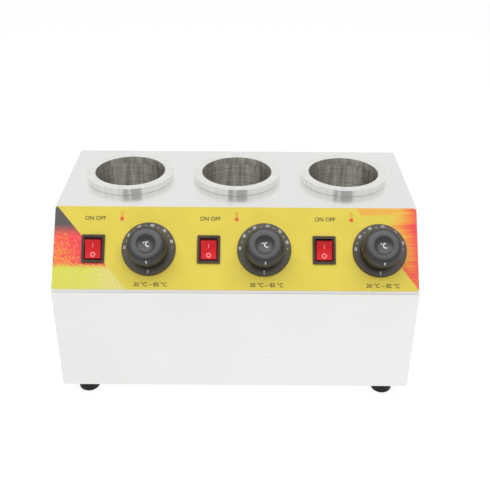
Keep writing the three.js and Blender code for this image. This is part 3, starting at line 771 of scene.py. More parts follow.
@dataclass(frozen=True)
class Printing:
    """The film's node tree, with the place along the panel and up it in millimetres."""

    tree: Tree
    place: Socket
    along: Socket
    up: Socket

    @classmethod
    def read(cls, tree: Tree) -> "Printing":
        """Read the place on the panel from the film's UV map."""
        marks = add(tree, "UVMap", uv_map="surface").outputs[0]
        place = add(tree, "VectorMath", {0: marks, "Scale": 1 / MM}, operation="SCALE").outputs[0]
        split = add(tree, "SeparateXYZ", {0: place}).outputs
        return cls(tree, place, split[0], split[1])

    def span(self, value: Socket, ends: tuple[float, float]) -> Socket:
        """Give how far a value has come from the first end to the second, eased at both."""
        ranged = {0: value, 1: ends[0], 2: ends[1]}
        return add(self.tree, "MapRange", ranged, interpolation_type="SMOOTHSTEP").outputs[0]

    def sums(self, first: Socket, second: Socket, share: float) -> Socket:
        """Give the second value times a share, plus the first."""
        terms = {0: second, 1: share, 2: first}
        return add(self.tree, "Math", terms, operation="MULTIPLY_ADD").outputs[0]

    def blend(self, share: Socket, first: Socket | tuple, second: Socket | tuple) -> Socket:
        """Give the first colour, turned into the second by a share."""
        return add(self.tree, "Mix", {0: share, 6: first, 7: second}, data_type="RGBA").outputs[2]

    def noise(self, size: float, detail: float = 1.0, place: Socket | None = None) -> Socket:
        """Give noise from minus to plus a half, with blobs of a size in millimetres."""
        inputs = {"Vector": place or self.place, "Scale": 1 / size, "Detail": detail}
        made = add(self.tree, "TexNoise", inputs).outputs[0]
        return add(self.tree, "Math", {0: made, 1: 0.5}, operation="SUBTRACT").outputs[0]

    def past(self, top: tuple[float, float], foot: tuple[float, float]) -> Socket:
        """Give how far along the panel a point lies past a slanting edge, at its own height."""
        lean = (top[0] - foot[0]) / (top[1] - foot[1])
        line = {0: self.up, 1: lean, 2: foot[0] - lean * foot[1]}
        edge = add(self.tree, "Math", line, operation="MULTIPLY_ADD").outputs[0]
        return add(self.tree, "Math", {0: self.along, 1: edge}, operation="SUBTRACT").outputs[0]

    def by_height(self, places: Sequence[tuple[float, float]]) -> Socket:
        """Give a value that follows a line through points, each a height and the value there."""
        lowest, highest = min(v for _, v in places), max(v for _, v in places)
        stops = []
        for height, value in places:
            share = (value - lowest) / (highest - lowest)
            stops.append((height / 100, (share, share, share, 1)))
        height = add(self.tree, "Math", {0: self.up, 1: 0.01}, operation="MULTIPLY").outputs[0]
        ramp = add(self.tree, "ValToRGB", {0: height}, stops=stops).outputs[0]
        return add(self.tree, "MapRange", {0: ramp, 3: lowest, 4: highest}).outputs[0]


@dataclass(frozen=True)
class HeatFadeFilm:
    """Satin polyester film printed yellow, with a heat-coloured fade in a corner at each end.

    It gives the eye a warm yellow field. At the left a wedge runs from charcoal through grainy
    red and orange to yellow-green, and at the right one runs in fine level streaks from yellow
    to red. The UV map holds the place along the panel and up it in metres.

    The left wedge's slanting edge runs from left_top to left_foot and the right one's from
    right_top to right_foot, as places along and up the panel. A name that ends in span holds
    the values between which a blend runs, and one that ends in pull says how much a pattern
    adds. Leads and rests are places along the panel by height.
    """

    left_top: tuple[float, float] = (-196.0, 94.6)
    left_foot: tuple[float, float] = (-118.0, 3.2)
    right_top: tuple[float, float] = (133.1, 93.7)
    right_foot: tuple[float, float] = (198.0, 5.4)
    yellow: str = "E4D159"
    yellow_shade: str = "E0CD57"
    charcoal: str = "625E5E"
    red: str = "F2525A"
    orange: str = "F09A4E"
    green: str = "D7DA53"
    green_speck: str = "EED6A4"
    amber: str = "F1B455"
    coral: str = "F4774F"
    grain: float = 1.4
    clump: float = 2.0
    lick: float = 4.5
    lick_lean: float = math.radians(38)
    charcoal_span: tuple[float, float] = (60.8, 75.5)
    green_span: tuple[float, float] = (27.0, 31.0)
    fine_fray: float = 16.0
    clump_fray: float = 9.0
    left_span: tuple[float, float] = (-160.0, -196.0)
    left_pull: float = 0.22
    low_span: tuple[float, float] = (60.0, 32.0)
    low_pull: float = 0.12
    fine_pull: float = 0.8
    lick_span: tuple[float, float] = (0.14, 0.38)
    speck_place_span: tuple[float, float] = (-175.0, -125.0)
    speck_pull: float = 0.12
    speck_span: tuple[float, float] = (0.02, 0.2)
    left_edge_span: tuple[float, float] = (0.5, -0.5)
    edge_fray: float = 9.0
    edge_fray_span: tuple[float, float] = (45.0, 20.0)
    right_edge_span: tuple[float, float] = (-0.3, 0.7)
    streak: float = 1.0
    streak_length: float = 40.0
    streak_pull: float = 40.0
    band_share: float = 0.3
    band_pull: float = 8.0
    heat_span: tuple[float, float] = (170.0, 200.0)
    leads: tuple[tuple[float, float], ...] = (
        (30, 0), (45, -2), (58, 1), (64, 2), (69, 4), (73, 8), (76, 8), (79, -1), (84, -1), (88, 0))
    rests: tuple[tuple[float, float], ...] = (
        (20, 197), (27, 192), (35, 186), (42, 176), (50, 165), (85.5, 165), (88.5, 180), (93, 179.5))
    cloud: float = 30.0
    cloud_span: tuple[float, float] = (0.35, 0.65)
    skin: float = 0.8
    roughness: tuple[float, float] = (0.42, 0.52)
    relief: tuple[float, float] = (0.06, 0.02)
    gloss: float = 0.12

    def left_fade(self, on: Printing, field: Socket) -> Socket:
        """Lay the left wedge over the field: charcoal, red, orange and green by height.

        Orange licks lean up to the right through the red, most of them at its left.

        Args:
            on: the film's tree and places.
            field: the colour under the wedge.

        Returns:
            The colour with the wedge on it.
        """
        fine = on.noise(self.grain)
        clump = on.noise(self.clump, 2.0)
        lean = add(on.tree, "Mapping", {"Vector": on.place, "Rotation": (0, 0, self.lick_lean)})
        squeeze = (1 / self.lick, 1 / self.clump, 1)
        thin = add(on.tree, "Mapping", {"Vector": lean.outputs[0], "Scale": squeeze})
        lick = on.noise(1.0, 2.0, thin.outputs[0])
        rough = on.sums(on.sums(on.up, fine, self.fine_fray), clump, self.clump_fray)
        warm = on.sums(lick, on.span(on.along, self.left_span), self.left_pull)
        warm = on.sums(warm, on.span(on.up, self.low_span), self.low_pull)
        warm = on.sums(warm, fine, self.fine_pull)
        glow = on.blend(on.span(warm, self.lick_span), linear(self.red), linear(self.orange))
        rightness = on.span(on.along, self.speck_place_span)
        speck = on.span(on.sums(fine, rightness, self.speck_pull), self.speck_span)
        leaf = on.blend(speck, linear(self.green), linear(self.green_speck))
        hot = on.blend(on.span(rough, self.green_span), leaf, glow)
        dark = on.blend(on.span(rough, self.charcoal_span), hot, linear(self.charcoal))
        lowness = on.span(on.up, self.edge_fray_span)
        fray = add(on.tree, "Math", {0: fine, 1: lowness}, operation="MULTIPLY").outputs[0]
        frayed = on.sums(on.past(self.left_top, self.left_foot), fray, self.edge_fray)
        return on.blend(on.span(frayed, self.left_edge_span), field, dark)

    def right_fade(self, on: Printing, field: Socket) -> Socket:
        """Lay the right wedge over the field: level streaks that redden towards the end.

        The heat is the place along the panel, moved by the streaks and by a lead for the
        height, and it is never less than a rest for the height.

        Args:
            on: the film's tree and places.
            field: the colour under the wedge.

        Returns:
            The colour with the wedge on it.
        """
        heat = on.sums(on.along, on.by_height(self.leads), 1.0)
        rest = on.by_height(self.rests)
        heat = add(on.tree, "Math", {0: heat, 1: rest}, operation="MAXIMUM").outputs[0]
        for share, detail, pull in (
            (1.0, 2.0, self.streak_pull),
            (self.band_share, 1.0, self.band_pull),
        ):
            squeeze = (1 / self.streak_length, share / self.streak, 1)
            thin = add(on.tree, "Mapping", {"Vector": on.place, "Scale": squeeze}).outputs[0]
            heat = on.sums(heat, on.noise(1.0, detail, thin), pull)
        warmth = add(on.tree, "MapRange", {0: heat, 1: self.heat_span[0], 2: self.heat_span[1]})
        ramp = add(on.tree, "ValToRGB", {0: warmth.outputs[0]}, stops=[
            (0.0, linear(self.yellow)),
            (0.38, linear(self.amber)),
            (0.62, linear(self.orange)),
            (0.82, linear(self.coral)),
            (1.0, linear(self.red)),
        ])
        beyond = on.past(self.right_top, self.right_foot)
        return on.blend(on.span(beyond, self.right_edge_span), field, ramp.outputs[0])

    def build(self) -> Material:
        """Make the material: the yellow field, then both wedges, under a satin skin."""
        material, tree, shader = new_material("printed polyester film")
        on = Printing.read(tree)
        slow = {"Vector": on.place, "Scale": 1 / self.cloud, "Detail": 4.0}
        cloud = on.span(add(tree, "TexNoise", slow).outputs[0], self.cloud_span)
        field = on.blend(cloud, linear(self.yellow_shade), linear(self.yellow))
        field = self.right_fade(on, self.left_fade(on, field))
        fine = {"Vector": on.place, "Scale": 1 / self.skin, "Detail": 2.0}
        skin = add(tree, "TexNoise", fine).outputs[0]
        low, high = self.roughness
        strength, height = self.relief
        bump = add(tree, "Bump", {"Strength": strength, "Distance": height * MM, "Height": skin})
        wire(tree, shader, {
            "Base Color": field,
            "Roughness": add(tree, "MapRange", {0: skin, 3: low, 4: high}).outputs[0],
            "Normal": bump.outputs[0],
            "Specular IOR Level": self.gloss,
        })
        return material


@dataclass(frozen=True)
class Finishes:
    """Every finish of the warmer, made once."""

    sheet: Material
    polished: Material
    spun: Material
    heater: Material
    zinc: Material
    tinned: Material
    copper: Material
    film: Material
    knob: Material
    dial: Material
    bezel: Material
    socket: Material
    rocker: Material
    skirt: Material
    rubber: Material
    nylon: Material
    phenolic: Material
    sleeve: Material
    white_ink: Material
    pink_ink: Material
    olive_ink: Material
    red_ink: Material
    orange_ink: Material

    @classmethod
    def build(cls) -> "Finishes":
        """Make every material."""
        return cls(
            sheet=StainlessSheet("satin stainless sheet", "F4F4F2", "EEEEEC", 0.24).build(),
            polished=TurnedSteel(
                "polished stainless ring", "F1F1EE", "E6E6E2", 0.09,
                spread=(0.018, 0.0225), relief=(0.03, 0.02), streak=8.0).build(),
            spun=TurnedSteel(
                "spun stainless cup", "DAD7CE", "98948B", 0.34,
                spread=(0.068, 0.085), tool_feed=1.4, metallic=0.85, stretch=0.95).build(),
            heater=PlatedMetal("heater band steel", "A3A19C", "7F7C76", 0.42, patch=6.0).build(),
            zinc=PlatedMetal("zinc-plated steel", "C9CCCE", "A9ADB1", 0.28).build(),
            tinned=PlatedMetal("tinned brass", "D2CFC4", "B5B1A4", 0.25, patch=1.5).build(),
            copper=PlatedMetal("drawn copper", "C98A60", "A8683F", 0.3, patch=4.0).build(),
            film=HeatFadeFilm().build(),
            knob=Moulding("satin black ABS knob", "201E22", "18161A", 0.42, gloss=0.7).build(),
            dial=Moulding("satin black ABS dial", "3B3428", "342D23", 0.46, gloss=0.55).build(),
            bezel=Moulding("black nylon bezel", "4A413B", "413833", 0.5, gloss=0.3).build(),
            socket=Moulding("black inlet plastic", "242426", "1C1C1E", 0.5).build(),
            rocker=Moulding(
                "red polycarbonate rocker", "D8262C", "C91F26", 0.42,
                relief=(0.04, 0.02), grain=0.8, gloss=0.3, translucent=0.12).build(),
            # The skirt's dark red is the rocker's own red darkened: painted shade for the side walls
            # deep in the switch's gap.
            skirt=Moulding("rocker skirt red darkened as painted shade", "6E1216", "5A0D11", 0.5, gloss=0.2).build(),
            rubber=Moulding(
                "black moulded rubber", "1E1D1E", "161516", 0.62,
                relief=(0.3, 0.02), grain=0.5, gloss=0.3).build(),
            nylon=Moulding("natural nylon", "E9E5DA", "DDD8CA", 0.5, grain=0.6).build(),
            phenolic=Moulding("brown phenolic", "6B4A36", "54392A", 0.45, grain=0.5).build(),
            sleeve=BraidedSleeve("braided glass sleeve", "DDD8C8", "A9A18A", 0.85).build(),
            white_ink=ScreenInk("white ink", "E9ECEE", "CDD2D4").build(),
            pink_ink=ScreenInk("pale ink on red", "F58A90", "EE7E85").build(),
            olive_ink=ScreenInk("olive ink on yellow", "5A4F2E", "4E4428").build(),
            red_ink=ScreenInk("red ink on yellow", "E2603A", "D85533").build(),
            orange_ink=ScreenInk("orange ink on yellow", "E8863C", "E07C34").build(),
        )


# Where things are, read from the frame


def joint(name: str) -> dict:
    """Give one of the record's joints by its name."""
    return next(j for j in frame["joints"] if j["name"] == name)


@dataclass(frozen=True)
class Layout:
    """The casing's profile and the panel's own directions, measured on the frame."""

    low: Vector
    high: Vector
    panel: Place
    slope_length: float

    @classmethod
    def measure(cls) -> "Layout":
        """Read the casing's box, and the panel's plane from the first knob's joint."""
        low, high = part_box("casing_shell")
        knob_joint = joint(f"{UNITS[0]}_knob_turn")
        out = -Vector(knob_joint["axis"])
        across = Vector((1, 0, 0))
        up = out.cross(across)
        spot = Vector(knob_joint["pos_m"])
        fold = spot - up * ((spot.y - low.y) / up.y)
        fold.x = 0
        slope_length = (high.z - fold.z) / up.z / MM
        return cls(low, high, Place(fold, across, up, out), slope_length)

    def side_place(self) -> Place:
        """Give directions for outlines drawn in the side view: back, up and right."""
        return Place(Vector((0, 0, 0)), Vector((0, 1, 0)), Vector((0, 0, 1)), Vector((1, 0, 0)))

    def profile(self) -> np.ndarray:
        """Give the corners of the casing's side view, anticlockwise from the lower front."""
        front, back = self.low.y / MM, self.high.y / MM
        bottom, top = self.low.z / MM, self.high.z / MM
        fold = np.array(self.panel.origin)[1:] / MM
        crest = fold + np.array(self.panel.up)[1:] * self.slope_length
        return np.array([[front, bottom], [back, bottom], [back, top], crest, fold])

    def at_joint(self, name: str) -> Place:
        """Give a joint's place, with the panel's directions."""
        return Place(Vector(joint(name)["pos_m"]), self.panel.across, self.panel.up, self.panel.out)

    def dial(self, unit: str) -> Place:
        """Give a unit's dial axis, from the panel's outer face."""
        return self.at_joint(f"{unit}_knob_turn")

    def pivot(self, unit: str) -> Place:
        """Give a unit's rocker pivot."""
        return self.at_joint(f"{unit}_rocker_tilt")


# Cutters


def bar(name: str, radius: float, length: float, place: Place) -> Thing:
    """Make a round cutter that runs both ways from a place, along its out direction."""
    grid = rings([circle(radius)] * 2, [-length / 2, length / 2])
    return loft(name, grid, place)


def brick(name: str, width: float, height: float, depth: float, place: Place) -> Thing:
    """Make a square-edged cutter that runs both ways from a place, along its out direction."""
    grid = rings([rectangle(width, height)] * 2, [-depth / 2, depth / 2])
    return loft(name, grid, place)


def control_cutters(layout: Layout, unit: str, depth: float) -> list[Thing]:
    """Make the cutters for one unit's thermostat bush and its switch."""
    return [
        bar("cutter", BUSH_HOLE, depth, layout.dial(unit)),
        brick("cutter", *SWITCH_HOLE, depth, layout.pivot(unit)),
    ]


def flanged(
    name: str,
    place: Place,
    trunk: tuple[np.ndarray, float],
    plate: tuple[np.ndarray, float, float],
    mouth: tuple[np.ndarray, float, float],
    levels: tuple[float, float, float, float],
) -> Thing:
    """Loft a box behind a plate with a rounded edge, and a mouth sunk into the plate.

    The plate's outlines are set in by its edge times one less the cosine, and the mouth's are
    set out by its edge times one less the sine.

    Args:
        name: the piece's name.
        place: where its outlines lie.
        trunk: the box's corners and their radius.
        plate: the plate's corners, their radius and the radius of its front edge.
        mouth: the mouth's corners, their radius and the radius of its edge.
        levels: the heights of the box's back, the plate's back and front, and the mouth's floor.

    Returns:
        The new object.
    """
    back, seat, top, floor = levels
    plate_edge, mouth_edge = plate[2], mouth[2]
    angle = np.linspace(0, np.pi / 2, ARC_STEPS + 1)
    outlines = [inset(*trunk, 0)] * 2 + [inset(*plate[:2], 0)]
    outlines += [inset(*plate[:2], plate_edge * (1 - c)) for c in np.cos(angle)]
    outlines += [inset(*mouth[:2], -mouth_edge * (1 - s)) for s in np.sin(angle)]
    outlines += [inset(*mouth[:2], 0)]
    heights = [back, seat, seat, *(top - plate_edge * (1 - np.sin(angle)))]
    heights += [*(top - mouth_edge * (1 - np.cos(angle))), floor]
    return loft(name, rings(outlines, heights), place)


# Sub-assemblies


@dataclass(frozen=True)
class Casing:
    """The folded stainless casing, its two cheeks and its base plate."""

    layout: Layout
    finishes: Finishes
    sheet: float = 1.0
    fold_radius: float = 1.4
    end_radius: float = 2.2
    flange: float = 1.0
    joint_width: float = 0.2
    cheek_edge: float = 0.3
    lip: float = 40.0
    well_hole: float = 42.4
    inlet_hole: tuple[float, float] = (27.4, 20.0)
    screw_hole: float = 2.5
    foot_height: float = 18.0
    cut_depth: float = 16.0

    def half_width(self) -> float:
        """Give half the casing's width."""
        return self.layout.high.x / MM

    def wrap_loop(self) -> np.ndarray:
        """Give the sheet's own section as rows of place along X and depth under the outside.

        At each end the sheet turns in by a quarter circle of the end radius and runs on into
        a short flange. The inside follows at one sheet's depth.
        """
        half = self.half_width()
        angle = np.linspace(0, np.pi / 2, ARC_STEPS + 1)
        outer = self.end_radius
        inner = self.end_radius - self.sheet
        centre = half - outer
        bend_out = np.stack([centre + outer * np.sin(angle), outer * (1 - np.cos(angle))], axis=1)
        bend_in = np.stack([centre + inner * np.sin(angle), outer - inner * np.cos(angle)], axis=1)
        tip = outer + self.flange
        right = np.concatenate([bend_out, [[half, tip], [half - self.sheet, tip]], bend_in[::-1]])
        left = right[::-1] * [-1, 1]
        return np.concatenate([right, left])

    def cutters(self) -> list[Thing]:
        """Make the cutters for the wells, controls, inlet, foot screws and open underside."""
        layout = self.layout
        made = []
        for unit in UNITS:
            made.append(bar("cutter", self.well_hole, self.cut_depth, upright(f"{unit}_well_rim")))
            made += control_cutters(layout, unit, self.cut_depth)
        made.append(brick("cutter", *self.inlet_hole, self.cut_depth, inlet_place()))
        for corner in FOOT_CORNERS:
            screw = foot_place(corner).moved(out=self.foot_height)
            made.append(bar("cutter", self.screw_hole, self.cut_depth, screw))
        depth = (layout.high.y - layout.low.y) / MM - 2 * self.lip
        width = 2 * (self.half_width() - self.end_radius - self.flange)
        window = level(Vector((0, (layout.low.y + layout.high.y) / 2, layout.low.z)))
        made.append(brick("cutter", width, depth, 4 * self.sheet, window))
        return made

    def wrap(self) -> Thing:
        """Build the folded sheet with all its holes."""
        corners = self.layout.profile()
        loop = self.wrap_loop()
        outlines = [inset(corners, self.fold_radius, depth) for depth in loop[:, 1]]
        grid = rings(outlines, loop[:, 0])
        skin = loft("casing_wrap", grid, self.layout.side_place(), hollow=True)
        return cut(skin, self.cutters())

    def cheek(self, side: int) -> Thing:
        """Build one end's flat panel, set into the wrap's flange with a fine joint round it."""
        corners = self.layout.profile()
        edge = self.end_radius + self.flange + self.joint_width
        angle = np.linspace(0, np.pi / 2, ARC_STEPS + 1)
        depths = np.r_[edge, edge + self.cheek_edge * (1 - np.cos(angle))]
        heights = np.r_[-self.sheet, self.cheek_edge * (np.sin(angle) - 1)]
        places = side * (self.half_width() + heights)
        grid = rings([inset(corners, self.fold_radius, depth) for depth in depths], places)
        name = "left_cheek" if side < 0 else "right_cheek"
        return loft(name, grid, self.layout.side_place())

    def build(self) -> None:
        """Build the casing's pieces and dress them."""
        dressed(self.wrap(), self.finishes.sheet, stands_for=["casing_shell"])
        for side, node in ((-1, "left_side_panel"), (1, "right_side_panel")):
            dressed(self.cheek(side), self.finishes.sheet, stands_for=[node])
        repainted("base_plate", self.finishes.sheet)


def foot_place(corner: str) -> Place:
    """Give the place on the table under one foot's middle."""
    return upright(f"{corner}_foot")


def inlet_place() -> Place:
    """Give the middle of the mains inlet on the casing's back, seen from behind."""
    low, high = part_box("mains_inlet")
    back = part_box("casing_shell")[1].y
    middle = Vector(((low.x + high.x) / 2, back, (low.z + high.z) / 2))
    return Place(middle, Vector((-1, 0, 0)), Vector((0, 0, 1)), Vector((0, 1, 0)))


@dataclass(frozen=True)
class Label:
    """The printed overlay on the sloping panel, with its words and pictograms."""

    layout: Layout
    finishes: Finishes
    corner: float = 3.5
    edge: float = 0.12
    cut_depth: float = 7.0
    word_height: float = 4.4
    word_weight: float = 0.12
    word_shift: tuple[float, float] = (1.3, 2.7)
    switch_word_rise: float = 34.4
    dial_word_rise: float = -38.8
    bulb_offset: float = -30.2
    bulb_rise: float = 33.7
    bulb_radius: float = 2.1
    tube: tuple[float, float] = (2.7, 9.4)
    tube_wall: float = 0.75
    tube_sink: float = 0.6

    def film(self) -> Thing:
        """Build the film with a slight rounding at its upper edge and its control holes.

        Its UV map is the place along the panel and up it.
        """
        panel = self.layout.panel
        low, high = panel.box("control_label")
        left, right, bottom, top = low[0], high[0], low[1], high[1]
        corners = np.array([[left, bottom], [right, bottom], [right, top], [left, top]])
        depths = [0, 0, self.edge * 0.3, self.edge]
        heights = [low[2], high[2] - self.edge, high[2] - self.edge * 0.3, high[2]]
        grid = rings([inset(corners, self.corner, depth) for depth in depths], heights)
        film = loft("control_overlay", grid, panel)
        cutters = []
        for unit in UNITS:
            cutters += control_cutters(self.layout, unit, self.cut_depth)
        film = cut(film, cutters)
        mesh = film.data
        flat = panel.local(coordinates(mesh))[:, :2] * MM
        corner_vertices = np.empty(len(mesh.loops), int)
        mesh.loops.foreach_get("vertex_index", corner_vertices)
        layer = mesh.uv_layers.get("surface") or mesh.uv_layers.new(name="surface")
        layer.uv.foreach_set("vector", flat[corner_vertices].astype(np.float32).ravel())
        return film

    def thermometer(self, unit: str, place: Place) -> None:
        """Print a plain thermometer: an orange tube over a red bulb."""
        outer, inner = (
            inset(rectangle(*self.tube), self.tube[0] / 2, depth) for depth in (0, self.tube_wall))
        low, high = PRINT_LIFT, PRINT_LIFT + PRINT_THICKNESS
        grid = rings([outer, outer, inner, inner], [low, high, high, low])
        middle = place.moved(up=self.tube[1] / 2 - self.tube_sink)
        tube = loft(f"{unit}_thermometer_tube", grid, middle, hollow=True)
        dressed(tube, self.finishes.orange_ink)
        bulb_grid = rings([circle(self.bulb_radius, 40)] * 2, [high, high + PRINT_THICKNESS])
        bulb = loft(f"{unit}_thermometer_bulb", bulb_grid, place)
        dressed(bulb, self.finishes.red_ink)

    def build(self) -> None:
        """Build the film and every print on it."""
        film = dressed(self.film(), self.finishes.film, stands_for=["control_label"])
        top = self.layout.panel.box("control_label")[1][2]
        for unit in UNITS:
            switch = self.layout.pivot(unit)
            dial = self.layout.dial(unit)
            switch_out = float(self.layout.panel.local(np.array([switch.origin]))[0][2])
            over = switch.moved(self.word_shift[0], self.switch_word_rise, top - switch_out)
            under = dial.moved(self.word_shift[1], self.dial_word_rise, top)
            for piece, words, spot in (
                ("switch_words", "ON OFF", over),
                ("range_words", "30 °C – 85 °C", under),
            ):
                printed = lettering(f"{unit}_{piece}", words, self.word_height, spot, self.word_weight)
                dressed(printed, self.finishes.olive_ink)
            self.thermometer(unit, dial.moved(across=self.bulb_offset, up=self.bulb_rise, out=top))
        log.info("%s carries the prints of %d units", film.name, len(UNITS))


@dataclass(frozen=True)
class Well:
    """One heated well: the polished ring on top and the spun cup under it."""

    unit: str
    finishes: Finishes
    rim_edge: float = 0.45
    small_edge: float = 0.3
    bore_radius: float = 40.9
    bore_skin: float = 0.08
    bore_overlap: float = 0.01
    rim_drop: float = 0.18
    lip_recess: float = 47.2
    lip_recess_height: float = 1.3
    cup_wall: float = 1.0
    cup_corner: float = 5.0
    cup_radius: float = 42.0
    lip_thickness: float = 1.2

    def rim(self) -> Thing:
        """Turn the ring: flat on top, rounded at both upper edges, hollowed over the cup's lip."""
        place = upright(f"{self.unit}_well_rim")
        high = place.box(f"{self.unit}_well_rim")[1]
        outer, top = high[0], high[2]
        bore = self.bore_radius + self.bore_skin
        corners = [
            [self.lip_recess, -self.rim_drop, 0.1],
            [outer, -self.rim_drop, self.small_edge],
            [outer, top, self.rim_edge],
            [bore, top, self.rim_edge],
            [bore, self.lip_recess_height, 0.1],
            [self.lip_recess, self.lip_recess_height, 0.1],
        ]
        return turned(f"{self.unit}_ring", path(corners, closed=True), place, hollow=True)

    def bore(self) -> Thing:
        """Turn the bore's own face, which runs on from the cup's wall up to the ring's edge."""
        place = upright(f"{self.unit}_well_rim")
        top = place.box(f"{self.unit}_well_rim")[1][2] - self.rim_edge
        outer = self.bore_radius + self.bore_skin + self.bore_overlap
        corners = [
            [self.bore_radius, -self.cup_wall, 0.02],
            [outer, -self.cup_wall, 0.02],
            [outer, top, 0.02],
            [self.bore_radius, top, 0.02],
        ]
        return turned(f"{self.unit}_bore_face", path(corners, closed=True), place, hollow=True)

    def cup(self) -> Thing:
        """Turn the cup: a lip, a straight wall and a rounded corner to a flat floor."""
        node = f"{self.unit}_well_cup"
        place = upright(node)
        high = place.box(node)[1]
        lip, top = high[0], high[2]
        under = top - self.lip_thickness
        inner = self.cup_radius - self.cup_wall
        corners = [
            [0, 0, 0],
            [self.cup_radius, 0, self.cup_corner],
            [self.cup_radius, under, 0.2],
            [lip, under, 0.2],
            [lip, top, 0.4],
            [inner, top, 0.5],
            [inner, self.cup_wall, self.cup_corner - self.cup_wall],
            [0, self.cup_wall, 0],
        ]
        return turned(f"{self.unit}_cup", path(corners), place)

    def build(self) -> None:
        """Build the ring and the cup, and finish what is fixed to the cup."""
        unit = self.unit
        dressed(self.rim(), self.finishes.polished, stands_for=[f"{unit}_well_rim"])
        dressed(self.bore(), self.finishes.spun)
        dressed(self.cup(), self.finishes.spun, stands_for=[f"{unit}_well_cup"])
        repainted(f"{unit}_heater_band", self.finishes.heater)
        repainted(f"{unit}_heater_band_screw", self.finishes.zinc)
        repainted(f"{unit}_sensing_bulb", self.finishes.copper)
        repainted(f"{unit}_wiring_loom", self.finishes.sleeve)


@dataclass(frozen=True)
class Thermostat:
    """One temperature control: the dial ring with its figures, and the knob with its pointer."""

    unit: str
    layout: Layout
    finishes: Finishes
    ring_bore: float = BUSH_HOLE
    ring_edge: float = 1.5
    figure_radius: float = 26.3
    figure_height: float = 2.7
    figure_weight: float = 0.05
    dot_place: float = 25.4
    off_dot_place: float = 26.9
    tick_place: float = 24.4
    tick: tuple[float, float] = (1.2, 2.2)
    first_angle: float = 178.0
    figure_step: float = -32.0
    figures: tuple[str, ...] = ("30", "40", "50", "60", "70", "80")
    dot_radius: float = 0.5
    off_dot_radius: float = 0.6
    off_angle: float = -90.0
    pointer_angle: float = -87.5
    bulge: float = 0.2
    bulge_rise: float = 14.0
    dome: tuple[float, float] = (7.8, 10.2)
    inner_front: float = 14.5
    wall: float = 2.4
    hub_radius: float = 5.6
    bore_radius: float = 3.3
    hub_setback: float = 2.0
    socket_depth: float = 11.0
    dimple_radius: float = 10.75
    dimple_floor: float = 6.5
    dimple_depth: float = 3.0
    lip_round: float = 2.2
    bowl_round: float = 11.5
    pointer_width: float = 1.3
    pointer_top: float = 1.4
    pointer_foot: float = 4.2
    emblem_height: float = 6.0
    emblem_weight: float = 0.15
    emblem_shift: tuple[float, float] = (0.3, 0.8)

    def ring(self) -> Thing:
        """Turn the flat dial ring with a rounded outer edge."""
        node = f"{self.unit}_dial_ring"
        place = self.layout.dial(self.unit)
        low, high = place.box(node)
        corners = [
            [self.ring_bore, low[2], 0.1],
            [high[0], low[2], 0.15],
            [high[0], high[2], self.ring_edge],
            [self.ring_bore, high[2], 0.15],
        ]
        return turned(f"{self.unit}_dial", path(corners, closed=True), place, hollow=True)

    def knob_profile(self) -> np.ndarray:
        """Give the knob's half outline: hub, hollow, bulging skirt, shoulder and dished front.

        The shoulder is a quarter of an ellipse whose half lengths are the two dome sizes.
        """
        place = self.layout.dial(self.unit)
        low, high = place.box(f"{self.unit}_knob")
        bottom, top, base = low[2], high[2], high[0]
        ceiling = top - self.dimple_depth - self.wall
        socket_top = bottom + self.hub_setback + self.socket_depth
        widest = base + self.bulge
        turn = np.linspace(0, np.pi / 2, 13)[1:-1]
        inward = widest - self.dome[0] * (1 - np.cos(turn))
        dome = np.stack([inward, top - self.dome[1] * (1 - np.sin(turn)), 0 * turn], axis=1)
        return path([
            [0, socket_top, 0],
            [self.bore_radius, socket_top, 0.2],
            [self.bore_radius, bottom + self.hub_setback, 0.2],
            [self.hub_radius, bottom + self.hub_setback, 0.3],
            [self.hub_radius, ceiling, 0.5],
            [self.inner_front, ceiling, 0.5],
            [base - self.wall, bottom, 0.2],
            [base, bottom, 0.25],
            [widest, bottom + self.bulge_rise, 0],
            *dome.tolist(),
            [widest - self.dome[0], top, 0],
            [self.dimple_radius, top, self.lip_round],
            [self.dimple_floor, top - self.dimple_depth, self.bowl_round],
            [0, top - self.dimple_depth, 0],
        ])

    def pointer(self) -> Thing:
        """Lay a white line on the knob's side, from its shoulder down.

        Its points follow the knob's half outline between two depths under the front, each
        moved out along the outline's normal and turned by small angles about the pointer's own.
        """
        place = self.layout.dial(self.unit)
        profile = self.knob_profile()
        crest = int(profile[:, 1].argmax())
        flank = profile[int(profile[:, 0].argmax()):crest + 1]
        height = profile[crest, 1] - np.linspace(self.pointer_top, self.pointer_foot, 16)
        radius = np.interp(height, flank[:, 1], flank[:, 0])
        normal = np.stack([np.ones_like(radius), -np.gradient(radius, height)], axis=1)
        normal /= np.linalg.norm(normal, axis=1, keepdims=True)
        spread = np.linspace(-0.5, 0.5, 7) * self.pointer_width
        grids = []
        for lift in (PRINT_LIFT, PRINT_LIFT + PRINT_THICKNESS):
            out = (radius + normal[:, 0] * lift)[:, None]
            angle = np.radians(self.pointer_angle) + spread / out
            level = np.broadcast_to((height + normal[:, 1] * lift)[:, None], angle.shape)
            grids.append(np.stack([out * np.cos(angle), out * np.sin(angle), level], axis=-1))
        return slab(f"{self.unit}_pointer", grids[0], grids[1], place)

    def marks(self) -> None:
        """Print the figures with their heads outwards, the dots between and the off mark."""
        place = self.layout.dial(self.unit)
        top = place.box(f"{self.unit}_dial_ring")[1][2]
        prints = []
        for number, words in enumerate(self.figures):
            angle = math.radians(self.first_angle + number * self.figure_step)
            spot = place.spun(angle - math.pi / 2).moved(up=self.figure_radius, out=top)
            prints.append(lettering(
                f"{self.unit}_figures", words, self.figure_height, spot, self.figure_weight))
            between = math.radians(self.first_angle + (number + 0.5) * self.figure_step)
            prints.append(self.dot(self.dot_radius, self.dot_place, between, top))
        off = math.radians(self.off_angle)
        prints.append(self.dot(self.off_dot_radius, self.off_dot_place, off, top))
        tick = rings([rectangle(*self.tick)] * 2, [PRINT_LIFT, PRINT_LIFT + PRINT_THICKNESS])
        prints.append(loft("tick", tick, place.moved(up=-self.tick_place, out=top)))
        dressed(joined(prints), self.finishes.white_ink)

